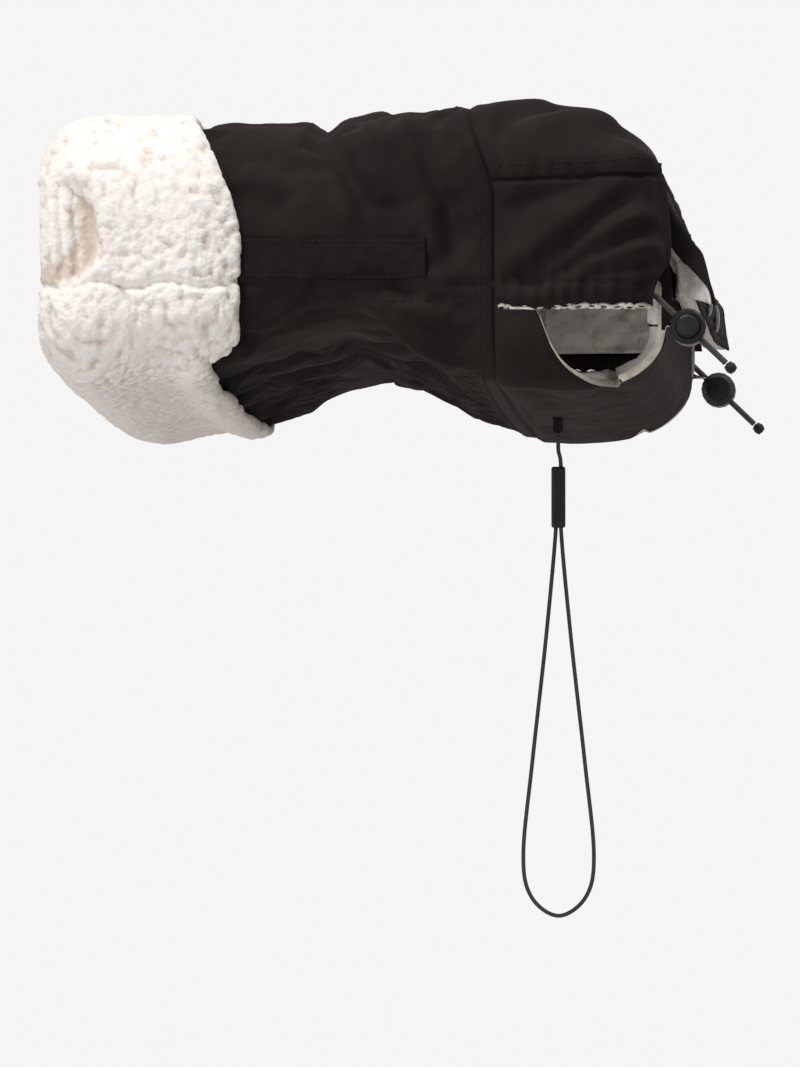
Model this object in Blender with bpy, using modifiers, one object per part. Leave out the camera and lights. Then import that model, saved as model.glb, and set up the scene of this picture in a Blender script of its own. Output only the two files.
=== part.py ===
"""A hand muff that closes round a stroller's handlebar.

Metres, +Z up. The handlebar's axis runs along Y through the origin. The hands go in at -X, through a
turned-back pile cuff, and the handlebar lies at the +X end, inside a hood. The hood's front flap swings up
on its top seam and closes with press studs on the turned-up edge of the under panel. The uprights of the
handlebar leave through a slot at each side, below a hem that a drawcord and a spring cord lock pull in.
The near side is -Y and the far side is +Y.
"""

import math

import bmesh
import bpy
from mathutils import Matrix, Vector

# The sleeve, measured from the handlebar's axis
MUFF_WIDTH = 0.410
MOUTH_REACH = 0.178
SEAM_SETBACK = 0.022
TOP_HEIGHT = 0.0480
BOTTOM_DROP = 0.0655
CROWN = 0.005
SIDE_SEAM_DROP = 0.0228
SHOULDER_RADIUS = 0.028
FLAT_RUN = 0.004

# The layers, from the outside in
FABRIC_THICKNESS = 0.0012
WADDING_THICKNESS = 0.0036
PILE_THICKNESS = 0.0055
LAYER_GAP = 0.0004
TOUCH_GAP = 0.0003

# The cuff
CUFF_LENGTH = 0.067
CUFF_LIP = 0.0145
CUFF_SWEEP = 0.014
CUFF_OVERLAP = 0.030
CUFF_EASE = 0.0012

# The hollow in the cuff at each end of the mouth
HOLLOW_HALF_HEIGHT = 0.0215
HOLLOW_DROP = 0.004
HOLLOW_INSET = 0.035
HOLLOW_EASE = 0.020

# The hood and its side wings
HOOD_REACH = 0.0443
HOOD_FRONT_HEIGHT = 0.0225
HOOD_PILE = 0.0050
HOOD_EDGE = 0.002
WING_TOP = 0.018
WING_TOP_FRONT = 0.004
WING_RETURN = 0.0022
HEM_DROP = 0.0241

# The under panel
LIP_TOP_DROP = 0.0085
CHEEK_TOP_DROP = 0.0368
CHEEK_RADIUS = 0.024
PANEL_PILE = 0.0050

# The front flap
FLAP_REACH = 0.0575
FLAP_HEM_DROP = 0.0235
FLAP_TOP_INSET = 0.043
FLAP_HEM_INSET = 0.025
FLAP_FLARE = 0.003
FLAP_FLARE_RUN = 0.055
FLAP_PILE = 0.0069
HINGE_RELIEF = 0.003

# The press studs
SNAP_COUNT = 3
SNAP_STACK = 0.0035
SNAP_SPACING = 0.095
SNAP_DROP = 0.0167
SNAP_RADIUS = 0.0055
SNAP_CAP_HEIGHT = 0.0016
SNAP_POST_RADIUS = 0.0015
SNAP_HOLE_RADIUS = 0.0019
SNAP_KNOB_RADIUS = 0.0021
SNAP_KNOB_HEIGHT = 0.0015
SNAP_SOCKET_RADIUS = 0.0025
SNAP_SOCKET_THICKNESS = 0.0016
SNAP_DISC_THICKNESS = 0.0010

# The side hems, their drawcords and cord locks
CHANNEL_RADIUS = 0.0028
CHANNEL_BORE = 0.0017
PIPING_RADIUS = 0.0010
BINDING_RADIUS = 0.0012
BINDING_EASE = 0.0010
DRAWCORD_RADIUS = 0.0012
DRAWCORD_END_RADIUS = 0.0023
CHANNEL_END = 0.0415
CHANNEL_END_INSET = 0.0085
LOCK_DISTANCE = 0.0175
TAIL_LENGTH = 0.020
LOCK_RADIUS = 0.0070
LOCK_BORE = 0.0049
LOCK_DEPTH = 0.0135
LOCK_FLOOR = 0.0015
LOCK_CORD_HEIGHT = 0.0090
LOCK_CORD_HOLE = 0.0017
PLUNGER_RADIUS = 0.0045
PLUNGER_START = 0.0050
PLUNGER_LENGTH = 0.0120
PLUNGER_SLOT_WIDTH = 0.0032
PLUNGER_SLOT_START = 0.0075
PLUNGER_SLOT_END = 0.0135
SPRING_RADIUS = 0.0032
SPRING_WIRE_RADIUS = 0.0003

# The ribbon on the near side
RIBBON_HEIGHT = 0.0180
RIBBON_DROP = 0.0117
RIBBON_THICKNESS = 0.0006
RIBBON_END = 0.0435

# The wrist cord under the handlebar
CORD_RADIUS = 0.0008
CORD_BACK = 0.002
TAB_WIDTH = 0.008
TAB_THICKNESS = 0.004
TAB_DROP = 0.0065
CRIMP_TOP_DROP = 0.0815
CRIMP_LENGTH = 0.0245
CRIMP_WIDTH = 0.0056
CRIMP_DEPTH = 0.0036
LOOP_DROP = 0.2600
LOOP_HALF_WIDTH = 0.0140
STRAND_OFFSET = 0.0010

OVERRUN = 0.002

# Sections of the sleeve from the mouth to the seam: the place along the sleeve, then the heights of the
# top and of the shoulder as shares of the top height, the depths of the bottom and of the lower shoulder
# as shares of the bottom drop, the half width, and the radii of the upper and lower shoulders.
sleeve_shares = (
    (0.000, 0.645, 0.00, 0.702, 0.480, 0.955, 1.00, 0.93),
    (0.115, 0.667, 0.02, 0.733, 0.480, 0.960, 1.00, 0.95),
    (0.212, 0.720, 0.05, 0.775, 0.480, 0.970, 1.00, 0.97),
    (0.288, 0.820, 0.07, 0.845, 0.480, 0.985, 1.00, 1.00),
    (0.372, 0.843, 0.10, 0.779, 0.470, 0.985, 1.00, 0.95),
    (0.474, 0.835, 0.12, 0.656, 0.440, 0.985, 1.00, 0.78),
    (0.545, 0.850, 0.13, 0.590, 0.430, 0.987, 0.97, 0.66),
    (0.593, 0.765, 0.14, 0.560, 0.425, 0.978, 0.95, 0.61),
    (0.640, 0.850, 0.17, 0.543, 0.428, 0.985, 0.97, 0.59),
    (0.756, 0.960, 0.25, 0.640, 0.445, 0.990, 1.00, 0.68),
    (0.885, 0.985, 0.33, 0.810, 0.500, 0.997, 1.00, 0.80),
    (1.000, 1.000, 0.375, 0.931, 0.588, 1.000, 1.00, 0.857),
)

# The cuff's closed outline: the place along the cuff from its back edge to its lip, and the height above
# the sleeve's fabric as a share of the cuff's overlap depth, first where it is full and then in the hollow
# at an end of the mouth. The stretch under the turned-back leg follows the fabric and is worked out apart.
cuff_outline_shares = (
    (0.00, 0.13, 0.13),
    (0.06, 0.20, 0.20),
    (0.26, 0.30, 0.30),
    (0.48, 0.38, 0.38),
    (0.62, 0.41, 0.36),
    (0.74, 0.42, 0.11),
    (0.90, 0.27, -0.02),
    (1.00, -0.08, -0.25),
    (0.96, -0.42, -0.46),
    (0.82, -0.60, -0.62),
    (0.60, -0.63, -0.63),
    (0.44, -0.56, -0.56),
)
cuff_straight_share = 0.3

# How much of a drawcord's way out of its channel is down.
drawcord_fall_share = 0.692

# The hood from the seam to the hinge: the place along it, the height as a share of the way from the front
# height to the top height, and the half width as a share of half the muff's width.
hood_shares = (
    (0.000, 1.000, 1.000),
    (0.070, 1.000, 1.000),
    (0.330, 1.009, 1.000),
    (0.625, 0.878, 1.000),
    (0.825, 0.567, 0.993),
    (0.950, 0.294, 0.971),
    (1.000, 0.000, 0.941),
)

# The under panel from the seam to the lip: forward reach as a share of the lip's reach, depth as a share
# of the bottom drop, half width as a share of half the muff's width, top of the cheek as a share of the
# bottom drop, where a cheek at full depth is no cheek.
panel_shares = (
    (-0.355, 0.935, 1.000, 0.562),
    (-0.104, 0.940, 1.000, 0.566),
    (-0.033, 0.942, 1.000, 0.630),
    (0.065, 0.942, 0.995, 0.745),
    (0.200, 0.940, 0.980, 0.845),
    (0.320, 0.935, 0.955, 0.892),
    (0.430, 0.925, 0.925, 0.913),
    (0.625, 0.890, 0.800, 0.890),
    (0.854, 0.795, 0.785, 0.795),
    (0.980, 0.670, 0.778, 0.670),
    (1.000, 0.588, 0.776, 0.588),
)

# The front flap from the hinge to the hem: forward place from the hinge to the flap's full reach, and
# depth from the hinge to the hem.
flap_shares = (
    (0.00, 0.000),
    (0.12, 0.150),
    (0.38, 0.350),
    (0.72, 0.540),
    (1.00, 0.670),
    (1.00, 1.000),
)

BLACK_FABRIC = ((0.018, 0.017, 0.018), 0.85, 0.0)
BLACK_RIBBON = ((0.014, 0.014, 0.015), 0.55, 0.0)
CREAM_PILE = ((0.86, 0.82, 0.74), 0.95, 0.0)
WHITE_WADDING = ((0.80, 0.80, 0.79), 0.95, 0.0)
CREAM_TRIM = ((0.80, 0.77, 0.70), 0.85, 0.0)
BLACK_PLASTIC = ((0.020, 0.020, 0.022), 0.40, 0.0)
BLACK_METAL = ((0.045, 0.045, 0.048), 0.35, 0.9)
SPRING_STEEL = ((0.62, 0.62, 0.64), 0.30, 1.0)

MILLIMETRE = 0.001
NEAR = -1
FAR = 1
CUFF_SEAMS = 6
SPRING_TURNS = 3
POINTS_A_TURN = 8
SIDE_NAMES = {NEAR: "near", FAR: "far"}
RUNS_ON_TOP = 6
RUNS_IN_SHOULDER = 3


def clear_scene():
    """Empties the file of objects."""
    for item in list(bpy.data.objects):
        bpy.data.objects.remove(item)


def collection(name):
    """A new collection in the scene."""
    made = bpy.data.collections.new(name)
    bpy.context.scene.collection.children.link(made)
    return made


def paint(item, look):
    """Gives an object a Principled material of its own."""
    colour, roughness, metallic = look
    made = bpy.data.materials.new(item.name)
    made.use_nodes = True
    shader = made.node_tree.nodes["Principled BSDF"]
    shader.inputs["Base Color"].default_value = (*colour, 1.0)
    shader.inputs["Roughness"].default_value = roughness
    shader.inputs["Metallic"].default_value = metallic
    item.data.materials.append(made)
    return item


def place(name, data, group=None):
    """A new object in the muff's collection, or in another."""
    item = bpy.data.objects.new(name, data)
    (group or PARTS).objects.link(item)
    return item


def axis_empty(name, location):
    """An empty on a joint's axis, which carries what the joint moves."""
    item = place(name, None)
    item.location = location
    return item


def carried_by(item, empty):
    """Parents an object to an empty without moving it."""
    item.parent = empty
    item.matrix_parent_inverse = Matrix.Translation(-empty.location)


def turn_to(item, axis):
    """Turns an object's own Z to a direction."""
    item.rotation_euler = Vector((0, 0, 1)).rotation_difference(Vector(axis)).to_euler()


def mix(low, high, share):
    """The value that lies a share of the way from low to high."""
    return low + (high - low) * share


def between(table, place_along):
    """A row of a table at a place along it, straight between the rows."""
    for before, after in zip(table, table[1:]):
        if place_along <= after[0]:
            break
    share = (place_along - before[0]) / (after[0] - before[0])
    return [mix(a, b, share) for a, b in zip(before, after)]


def half_section(half_width, edge, shoulder, level, radius, crown):
    """Half of a cross-section as (y, z) points: up a side, over the shoulder, across and down again."""
    ridge = half_width - radius
    side = [(half_width, edge), (half_width, (edge + shoulder) / 2)]
    for step in range(RUNS_IN_SHOULDER + 1):
        angle = math.pi / 2 * step / RUNS_IN_SHOULDER
        y = ridge + radius * math.cos(angle)
        z = shoulder + (level - shoulder) * math.sin(angle)
        side.append((y, z))
    across = []
    for step in range(1, RUNS_ON_TOP):
        y = ridge * (2 * step / RUNS_ON_TOP - 1)
        across.append((y, level + crown * (1 - (y / ridge) ** 2)))
    near = [(-y, z) for y, z in side]
    return near + across + side[::-1]


def outward(section):
    """The outward direction at each point of a section, stretched so that runs move by a whole unit."""
    runs = []
    for (y0, z0), (y1, z1) in zip(section, section[1:]):
        long = math.hypot(y1 - y0, z1 - z0)
        runs.append((-(z1 - z0) / long, (y1 - y0) / long))
    ways = []
    for before, after in zip(runs[:1] + runs, runs + runs[-1:]):
        y, z = before[0] + after[0], before[1] + after[1]
        stretch = 2 / (y * y + z * z)
        ways.append((y * stretch, z * stretch))
    return ways


def grid_mesh(name, rows):
    """An open mesh through rows of points, facing out when rows run to +X and points run round the muff."""
    mesh = bpy.data.meshes.new(name)
    across = len(rows[0])
    faces = []
    for i in range(len(rows) - 1):
        for j in range(across - 1):
            first = i * across + j
            faces.append((first, first + across, first + across + 1, first + 1))
    mesh.from_pydata([point for row in rows for point in row], [], faces)
    mesh.shade_smooth()
    return mesh


def layer(name, rows, depth, thickness, look):
    """A shell that lies between depth and depth plus thickness under the surface through the rows."""
    item = place(name, grid_mesh(name, rows))
    shell = item.modifiers.new("Thickness", "SOLIDIFY")
    shell.thickness = thickness
    shell.offset = 1 - 2 * (depth + thickness) / thickness
    shell.use_even_offset = True
    return paint(item, look)


def cut(item, cutter):
    """Takes a cutter's shape out of an object."""
    boolean = item.modifiers.new(cutter.name, "BOOLEAN")
    boolean.operation = "DIFFERENCE"
    boolean.object = cutter
    cutter.hide_render = True
    cutter.display_type = "WIRE"


def cylinder_cutter(name, radius, start, axis, length):
    """A round cutter from a point along a direction."""
    mesh = bpy.data.meshes.new(name)
    shape = bmesh.new()
    bmesh.ops.create_cone(
        shape, cap_ends=True, segments=12, radius1=radius, radius2=radius, depth=length
    )
    bmesh.ops.translate(shape, verts=shape.verts, vec=(0, 0, length / 2))
    shape.to_mesh(mesh)
    shape.free()
    item = place(name, mesh, CUTTERS)
    item.location = start
    turn_to(item, axis)
    return item


def box_mesh(name, size):
    """A box of a size, centred on its origin."""
    mesh = bpy.data.meshes.new(name)
    shape = bmesh.new()
    bmesh.ops.create_cube(shape, size=1.0)
    bmesh.ops.scale(shape, verts=shape.verts, vec=size)
    shape.to_mesh(mesh)
    shape.free()
    return mesh


def turned(name, profile, steps, location, axis, look):
    """A turned piece: (radius, height) points, down the outer side, spun about an axis."""
    mesh = bpy.data.meshes.new(name)
    last = len(profile) - 1
    edges = [(i, i + 1) for i in range(last)]
    if profile[0] == profile[-1]:
        profile = profile[:-1]
        edges[-1] = (last - 1, 0)
    mesh.from_pydata([(radius, 0, height) for radius, height in profile], edges, [])
    item = place(name, mesh)
    item.location = location
    turn_to(item, axis)
    spin = item.modifiers.new("Turn", "SCREW")
    spin.steps = steps
    spin.render_steps = steps
    spin.use_merge_vertices = True
    spin.merge_threshold = 0.00001
    spin.use_smooth_shade = True
    return paint(item, look)


def tube(name, points, radius, look, resolution=2):
    """A round tube along points, with closed ends."""
    data = bpy.data.curves.new(name, "CURVE")
    data.dimensions = "3D"
    data.bevel_depth = radius
    data.bevel_resolution = resolution
    data.use_fill_caps = True
    run = data.splines.new("POLY")
    run.points.add(len(points) - 1)
    for point, place_of in zip(run.points, points):
        point.co = (*place_of, 1.0)
    return paint(place(name, data), look)


def as_mesh(item, group):
    """The same shape as a welded mesh, in a collection, in place of a curve."""
    mesh = bpy.data.meshes.new_from_object(
        item.evaluated_get(bpy.context.evaluated_depsgraph_get())
    )
    shape = bmesh.new()
    shape.from_mesh(mesh)
    bmesh.ops.remove_doubles(shape, verts=shape.verts, dist=0.00001)
    bmesh.ops.recalc_face_normals(shape, faces=shape.faces)
    shape.to_mesh(mesh)
    shape.free()
    name, matrix = item.name, item.matrix_world.copy()
    bpy.data.objects.remove(item)
    made = place(name, mesh, group)
    made.matrix_world = matrix
    return made


def smooth_points(points, count):
    """Evenly spread points on a smooth curve through the points."""
    points = [Vector(point) for point in points]
    ends = [2 * points[0] - points[1], *points, 2 * points[-1] - points[-2]]
    fine = []
    for a, b, c, d in zip(ends, ends[1:], ends[2:], ends[3:]):
        for step in range(20):
            t = step / 20
            fine.append(
                0.5
                * (
                    2 * b
                    + (c - a) * t
                    + (2 * a - 5 * b + 4 * c - d) * t**2
                    + (3 * b - a - 3 * c + d) * t**3
                )
            )
    fine.append(points[-1])
    along = [0.0]
    for a, b in zip(fine, fine[1:]):
        along.append(along[-1] + (b - a).length)
    spread = []
    at = 0
    for step in range(count):
        want = along[-1] * step / (count - 1)
        while at < len(fine) - 2 and along[at + 1] < want:
            at += 1
        share = (want - along[at]) / (along[at + 1] - along[at])
        spread.append(fine[at].lerp(fine[at + 1], share))
    return spread


def sleeve_row(place_along):
    """The sizes of the sleeve's cross-section at a place along it."""
    row = between(sleeve_shares, place_along)
    return {
        "x": mix(-MOUTH_REACH, -SEAM_SETBACK, row[0]),
        "top": TOP_HEIGHT * row[1],
        "upper": TOP_HEIGHT * row[2],
        "bottom": -BOTTOM_DROP * row[3],
        "lower": -BOTTOM_DROP * row[4],
        "half": MUFF_WIDTH / 2 * row[5],
        "upper_radius": SHOULDER_RADIUS * row[6],
        "lower_radius": SHOULDER_RADIUS * row[7],
    }


def sleeve_half(row, on_top):
    """The upper or lower half of the sleeve's cross-section, running round the muff."""
    if on_top:
        edge = -SIDE_SEAM_DROP + LAYER_GAP / 2
        return half_section(
            row["half"], edge, row["upper"], row["top"], row["upper_radius"], CROWN
        )
    edge = -SIDE_SEAM_DROP - LAYER_GAP / 2
    half = half_section(
        row["half"], edge, row["lower"], row["bottom"], row["lower_radius"], -CROWN / 2
    )
    return half[::-1]


def hollow(y, z):
    """How far a place round the mouth lies in the hollow at its end, from 0 to 1."""
    beside = min(1, max(0, (HOLLOW_INSET - MUFF_WIDTH / 2 + abs(y)) / HOLLOW_EASE))
    height = min(1, abs(z + HOLLOW_DROP) / HOLLOW_HALF_HEIGHT)
    return beside * (1 - height**2) ** 2


def sleeve_places():
    """The places of the sleeve's sections, with a level run at each end so that its layers end square."""
    run = FLAT_RUN / (MOUTH_REACH - SEAM_SETBACK)
    middle = [row[0] for row in sleeve_shares[1:-1]]
    return [(0.0, 0.0), (run, 0.0)] + [(at, at) for at in middle] + [(1 - run, 1.0), (1.0, 1.0)]


def sleeve():
    """The sleeve's outer fabric, wadding and pile lining, above and below the side seams."""
    cuff_end = CUFF_LENGTH * (1 - cuff_outline_shares[-1][0]) - CUFF_LIP
    lining_start = (cuff_end + CUFF_EASE) / (MOUTH_REACH - SEAM_SETBACK)
    for on_top, word in ((True, "top"), (False, "bottom")):
        rows = []
        for at, shape_at in sleeve_places():
            x = mix(-MOUTH_REACH, -SEAM_SETBACK, at)
            rows.append([(x, y, z) for y, z in sleeve_half(sleeve_row(shape_at), on_top)])
        depth = 0
        layer(f"sleeve_{word}_outer", rows, depth, FABRIC_THICKNESS, BLACK_FABRIC)
        depth += FABRIC_THICKNESS + LAYER_GAP
        layer(f"sleeve_{word}_wadding", rows, depth, WADDING_THICKNESS, WHITE_WADDING)
        depth += WADDING_THICKNESS + LAYER_GAP
        inside = [row for (at, _), row in zip(sleeve_places(), rows) if at > lining_start]
        x = mix(-MOUTH_REACH, -SEAM_SETBACK, lining_start)
        section = sleeve_half(sleeve_row(lining_start), on_top)
        first = [(x, y, z) for y, z in section]
        level = [(x + FLAT_RUN / 2, y, z) for y, z in section]
        inside = [first, level, *inside]
        layer(f"sleeve_{word}_lining", inside, depth, PILE_THICKNESS, CREAM_PILE)


def cuff_outline(back, sunk):
    """The cuff's closed outline, as (x, height over the sleeve's fabric) points, for its back edge.

    Sunk tells how far the outline lies in the hollow, from 0 to 1.
    """
    lip = -MOUTH_REACH - CUFF_LIP
    outline = []
    for along, full, hollowed in cuff_outline_shares:
        edge = back if along < cuff_straight_share else lip + CUFF_LENGTH
        outline.append((mix(edge, lip, along), mix(full, hollowed, sunk) * CUFF_OVERLAP))
    end = outline[-1][0]
    front = -MOUTH_REACH - CUFF_EASE
    seams = [mix(-MOUTH_REACH, -SEAM_SETBACK, row[0]) for row in sleeve_shares]
    inner = -FABRIC_THICKNESS - WADDING_THICKNESS - LAYER_GAP - CUFF_EASE
    outline.append((end, inner))
    outline += [(x, inner) for x in seams[::-1] if x < end - FLAT_RUN]
    outline += [(front, inner), (front, LAYER_GAP)]
    over = [x for x in seams if x < back - TOUCH_GAP]
    missing = CUFF_SEAMS - len(over)
    over += [mix(over[-1], back, (step + 1) / (missing + 1)) for step in range(missing)]
    return outline + [(x, LAYER_GAP) for x in [*over, back]]


def cuff():
    """The pile turned back over the sleeve's mouth: two halves that meet at the side seams."""
    for on_top, word in ((True, "top"), (False, "bottom")):
        columns = []
        for j, (mouth_y, mouth_z) in enumerate(sleeve_half(sleeve_row(0), on_top)):
            sweep = CUFF_SWEEP * (min(1, abs(mouth_y) / (MUFF_WIDTH / 2)) ** 6 - 1 / 2)
            back = CUFF_LENGTH - CUFF_LIP - MOUTH_REACH + sweep
            column = []
            for x, height in cuff_outline(back, hollow(mouth_y, mouth_z)):
                at = max(0, (x + MOUTH_REACH) / (MOUTH_REACH - SEAM_SETBACK))
                section = sleeve_half(sleeve_row(at), on_top)
                way = outward(section)[j]
                y, z = section[j]
                column.append((x, y + way[0] * height, z + way[1] * height))
            columns.append(column)
        paint(closed_loft(f"cuff_{word}", columns), CREAM_PILE)


def closed_loft(name, columns):
    """A solid through closed outlines of one count, with flat ends."""
    mesh = bpy.data.meshes.new(name)
    shape = bmesh.new()
    loops = []
    for column in columns:
        verts = [shape.verts.new(point) for point in column]
        loops.append(verts)
    for before, after in zip(loops, loops[1:]):
        for i in range(len(before)):
            k = (i + 1) % len(before)
            shape.faces.new((before[i], before[k], after[k], after[i]))
    shape.faces.new(loops[0])
    shape.faces.new(loops[-1])
    bmesh.ops.recalc_face_normals(shape, faces=shape.faces)
    shape.to_mesh(mesh)
    shape.free()
    mesh.shade_smooth()
    return place(name, mesh)


def hood_places():
    """The hood's sections from the seam to the hinge: forward place, height, half width, wing top."""
    places = []
    start = -SEAM_SETBACK + LAYER_GAP
    for along, height, width in hood_shares:
        x = mix(start, HOOD_REACH, along)
        wing = mix(WING_TOP, WING_TOP_FRONT, max(0, x) / HOOD_REACH)
        level = mix(HOOD_FRONT_HEIGHT, TOP_HEIGHT, height)
        places.append((x, level, MUFF_WIDTH / 2 * width, wing))
    return places


def hood():
    """The panel over the handlebar, from the sleeve's seam to the flap's hinge."""
    rows = []
    for x, top, half, wing in hood_places():
        section = half_section(
            half, wing - HOOD_EDGE, wing, top, SHOULDER_RADIUS, CROWN * (1 - max(0, x) / HOOD_REACH)
        )
        rows.append([(x, y, z) for y, z in section])
    layer("hood_top_outer", rows, 0, FABRIC_THICKNESS, BLACK_FABRIC)
    depth = FABRIC_THICKNESS + LAYER_GAP
    layer("hood_top_lining", rows[:-1], depth, HOOD_PILE, CREAM_PILE)


def wings():
    """The hood's two sides, which turn in at their front edges."""
    for side in (NEAR, FAR):
        path = [(x, half, wing - HOOD_EDGE - LAYER_GAP) for x, _, half, wing in hood_places()]
        last = path[-1]
        path.append((last[0] + WING_RETURN, last[1] - 2 * WING_RETURN, last[2]))
        rows = []
        for x, half, top in path:
            column = [
                (x, side * half, mix(-HEM_DROP, top, step / 4)) for step in range(5)
            ]
            rows.append(column if side == NEAR else column[::-1])
        name = SIDE_NAMES[side]
        layer(f"{name}_wing_outer", rows, 0, FABRIC_THICKNESS, BLACK_FABRIC)
        depth = FABRIC_THICKNESS + LAYER_GAP
        layer(f"{name}_wing_lining", rows[:-1], depth, HOOD_PILE, CREAM_PILE)


def panel_section(half, cheek_top, bottom):
    """The under panel's cross-section from the far edge to the near edge, in even steps."""
    radius = CHEEK_RADIUS
    shoulder = min(-CHEEK_TOP_DROP - HOOD_EDGE, bottom + radius)
    rise = shoulder - bottom
    fine = [(half, cheek_top)] if cheek_top > shoulder else []
    for step in range(25):
        angle = math.pi / 2 * step / 24
        z = shoulder - rise * math.sin(angle)
        if z <= cheek_top:
            fine.append((half - radius + radius * math.cos(angle), z))
    if len(fine) < 2:
        fine = [(half, bottom), (half - radius, bottom)]
    fine.append((0, bottom))
    corner = fine[:-1]
    side = []
    steps = 6
    for step in range(steps + 1):
        at = step / steps * (len(corner) - 1)
        low = min(int(at), len(corner) - 2)
        share = at - low
        side.append(
            (mix(corner[low][0], corner[low + 1][0], share), mix(corner[low][1], corner[low + 1][1], share))
        )
    ridge = side[-1][0]
    across = [(ridge * (1 - 2 * step / RUNS_ON_TOP), bottom) for step in range(1, RUNS_ON_TOP)]
    return side + across + [(-y, z) for y, z in side[::-1]]


def flap_inner_face():
    """How far forward the flap's pile lies where it hangs straight."""
    return FLAP_REACH - FABRIC_THICKNESS - LAYER_GAP - FLAP_PILE


def lip_reach():
    """How far forward the under panel's turned-up edge lies, which leaves room for the press studs."""
    return flap_inner_face() - SNAP_STACK


def panel_rows():
    """The under panel's surface from the seam to the top of its lip."""
    rows = []
    start = -SEAM_SETBACK + LAYER_GAP
    first = panel_shares[0]
    for x in (start, start + FLAT_RUN):
        section = panel_section(MUFF_WIDTH / 2, -BOTTOM_DROP * first[3], -BOTTOM_DROP * first[1])
        rows.append([(x, y, z) for y, z in section])
    for reach, depth, width, cheek in panel_shares[1:]:
        section = panel_section(
            MUFF_WIDTH / 2 * width, -BOTTOM_DROP * cheek, -BOTTOM_DROP * depth
        )
        rows.append([(lip_reach() * reach, y, z) for y, z in section])
    rows.append([(lip_reach(), y, -LIP_TOP_DROP) for _, y, _ in rows[-1]])
    return rows


def under_panel():
    """The panel below the handlebar, with a cheek at each side and its front edge turned up."""
    rows = panel_rows()
    outer = layer("under_panel_outer", rows, 0, FABRIC_THICKNESS, BLACK_FABRIC)
    depth = FABRIC_THICKNESS + LAYER_GAP
    lining = layer("under_panel_lining", rows, depth, PANEL_PILE, CREAM_PILE)
    for side in (NEAR, FAR):
        points = rim_points(rows, side, (depth + PANEL_PILE) / 2)
        tube(f"{SIDE_NAMES[side]}_slot_binding", points[1:], BINDING_RADIUS, CREAM_TRIM, 1)
    return outer, lining


def rim_points(rows, side, inward):
    """Points just past a panel's side edge, at a depth under its surface."""
    mesh = grid_mesh("rim", rows)
    across = len(rows[0])
    column, beside = (0, 1) if side == FAR else (across - 1, across - 2)
    edge = [Vector(row[column]) for row in rows]
    points = []
    for i, here in enumerate(edge):
        normal = mesh.vertices[i * across + column].normal
        along = edge[min(i + 1, len(edge) - 1)] - edge[max(i - 1, 0)]
        away = normal.cross(along).normalized()
        if away.dot(here - Vector(rows[i][beside])) < 0:
            away.negate()
        points.append(here - normal * inward + away * (BINDING_RADIUS + BINDING_EASE))
    bpy.data.meshes.remove(mesh)
    return points


def front_flap():
    """The flap in front of the handlebar, which swings up on the hood's front seam."""
    top = (HOOD_REACH + TOUCH_GAP, HOOD_FRONT_HEIGHT - LAYER_GAP)
    rows = []
    for forward, down in flap_shares:
        x = mix(top[0], FLAP_REACH, forward)
        z = mix(top[1], -FLAP_HEM_DROP, down)
        half = MUFF_WIDTH / 2 - mix(FLAP_TOP_INSET, FLAP_HEM_INSET, down)
        row = []
        for step in range(13):
            y = half * (step / 6 - 1)
            past = max(0, 1 - (half - abs(y)) / FLAP_FLARE_RUN)
            row.append((x + FLAP_FLARE * past**2 * down**2, y, z))
        rows.append(row)
    outer = layer("front_flap_outer", rows, 0, FABRIC_THICKNESS, BLACK_FABRIC)
    share = HINGE_RELIEF / (HOOD_FRONT_HEIGHT + FLAP_HEM_DROP) / flap_shares[1][1]
    start = [tuple(mix(a, b, share) for a, b in zip(p, q)) for p, q in zip(rows[0], rows[1])]
    depth = FABRIC_THICKNESS + LAYER_GAP
    lining = layer("front_flap_lining", [start, *rows[1:]], depth, FLAP_PILE, CREAM_PILE)
    hinge = axis_empty("front_flap_hinge", (HOOD_REACH, 0, HOOD_FRONT_HEIGHT))
    carried_by(outer, hinge)
    carried_by(lining, hinge)
    return outer, lining, hinge


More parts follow.
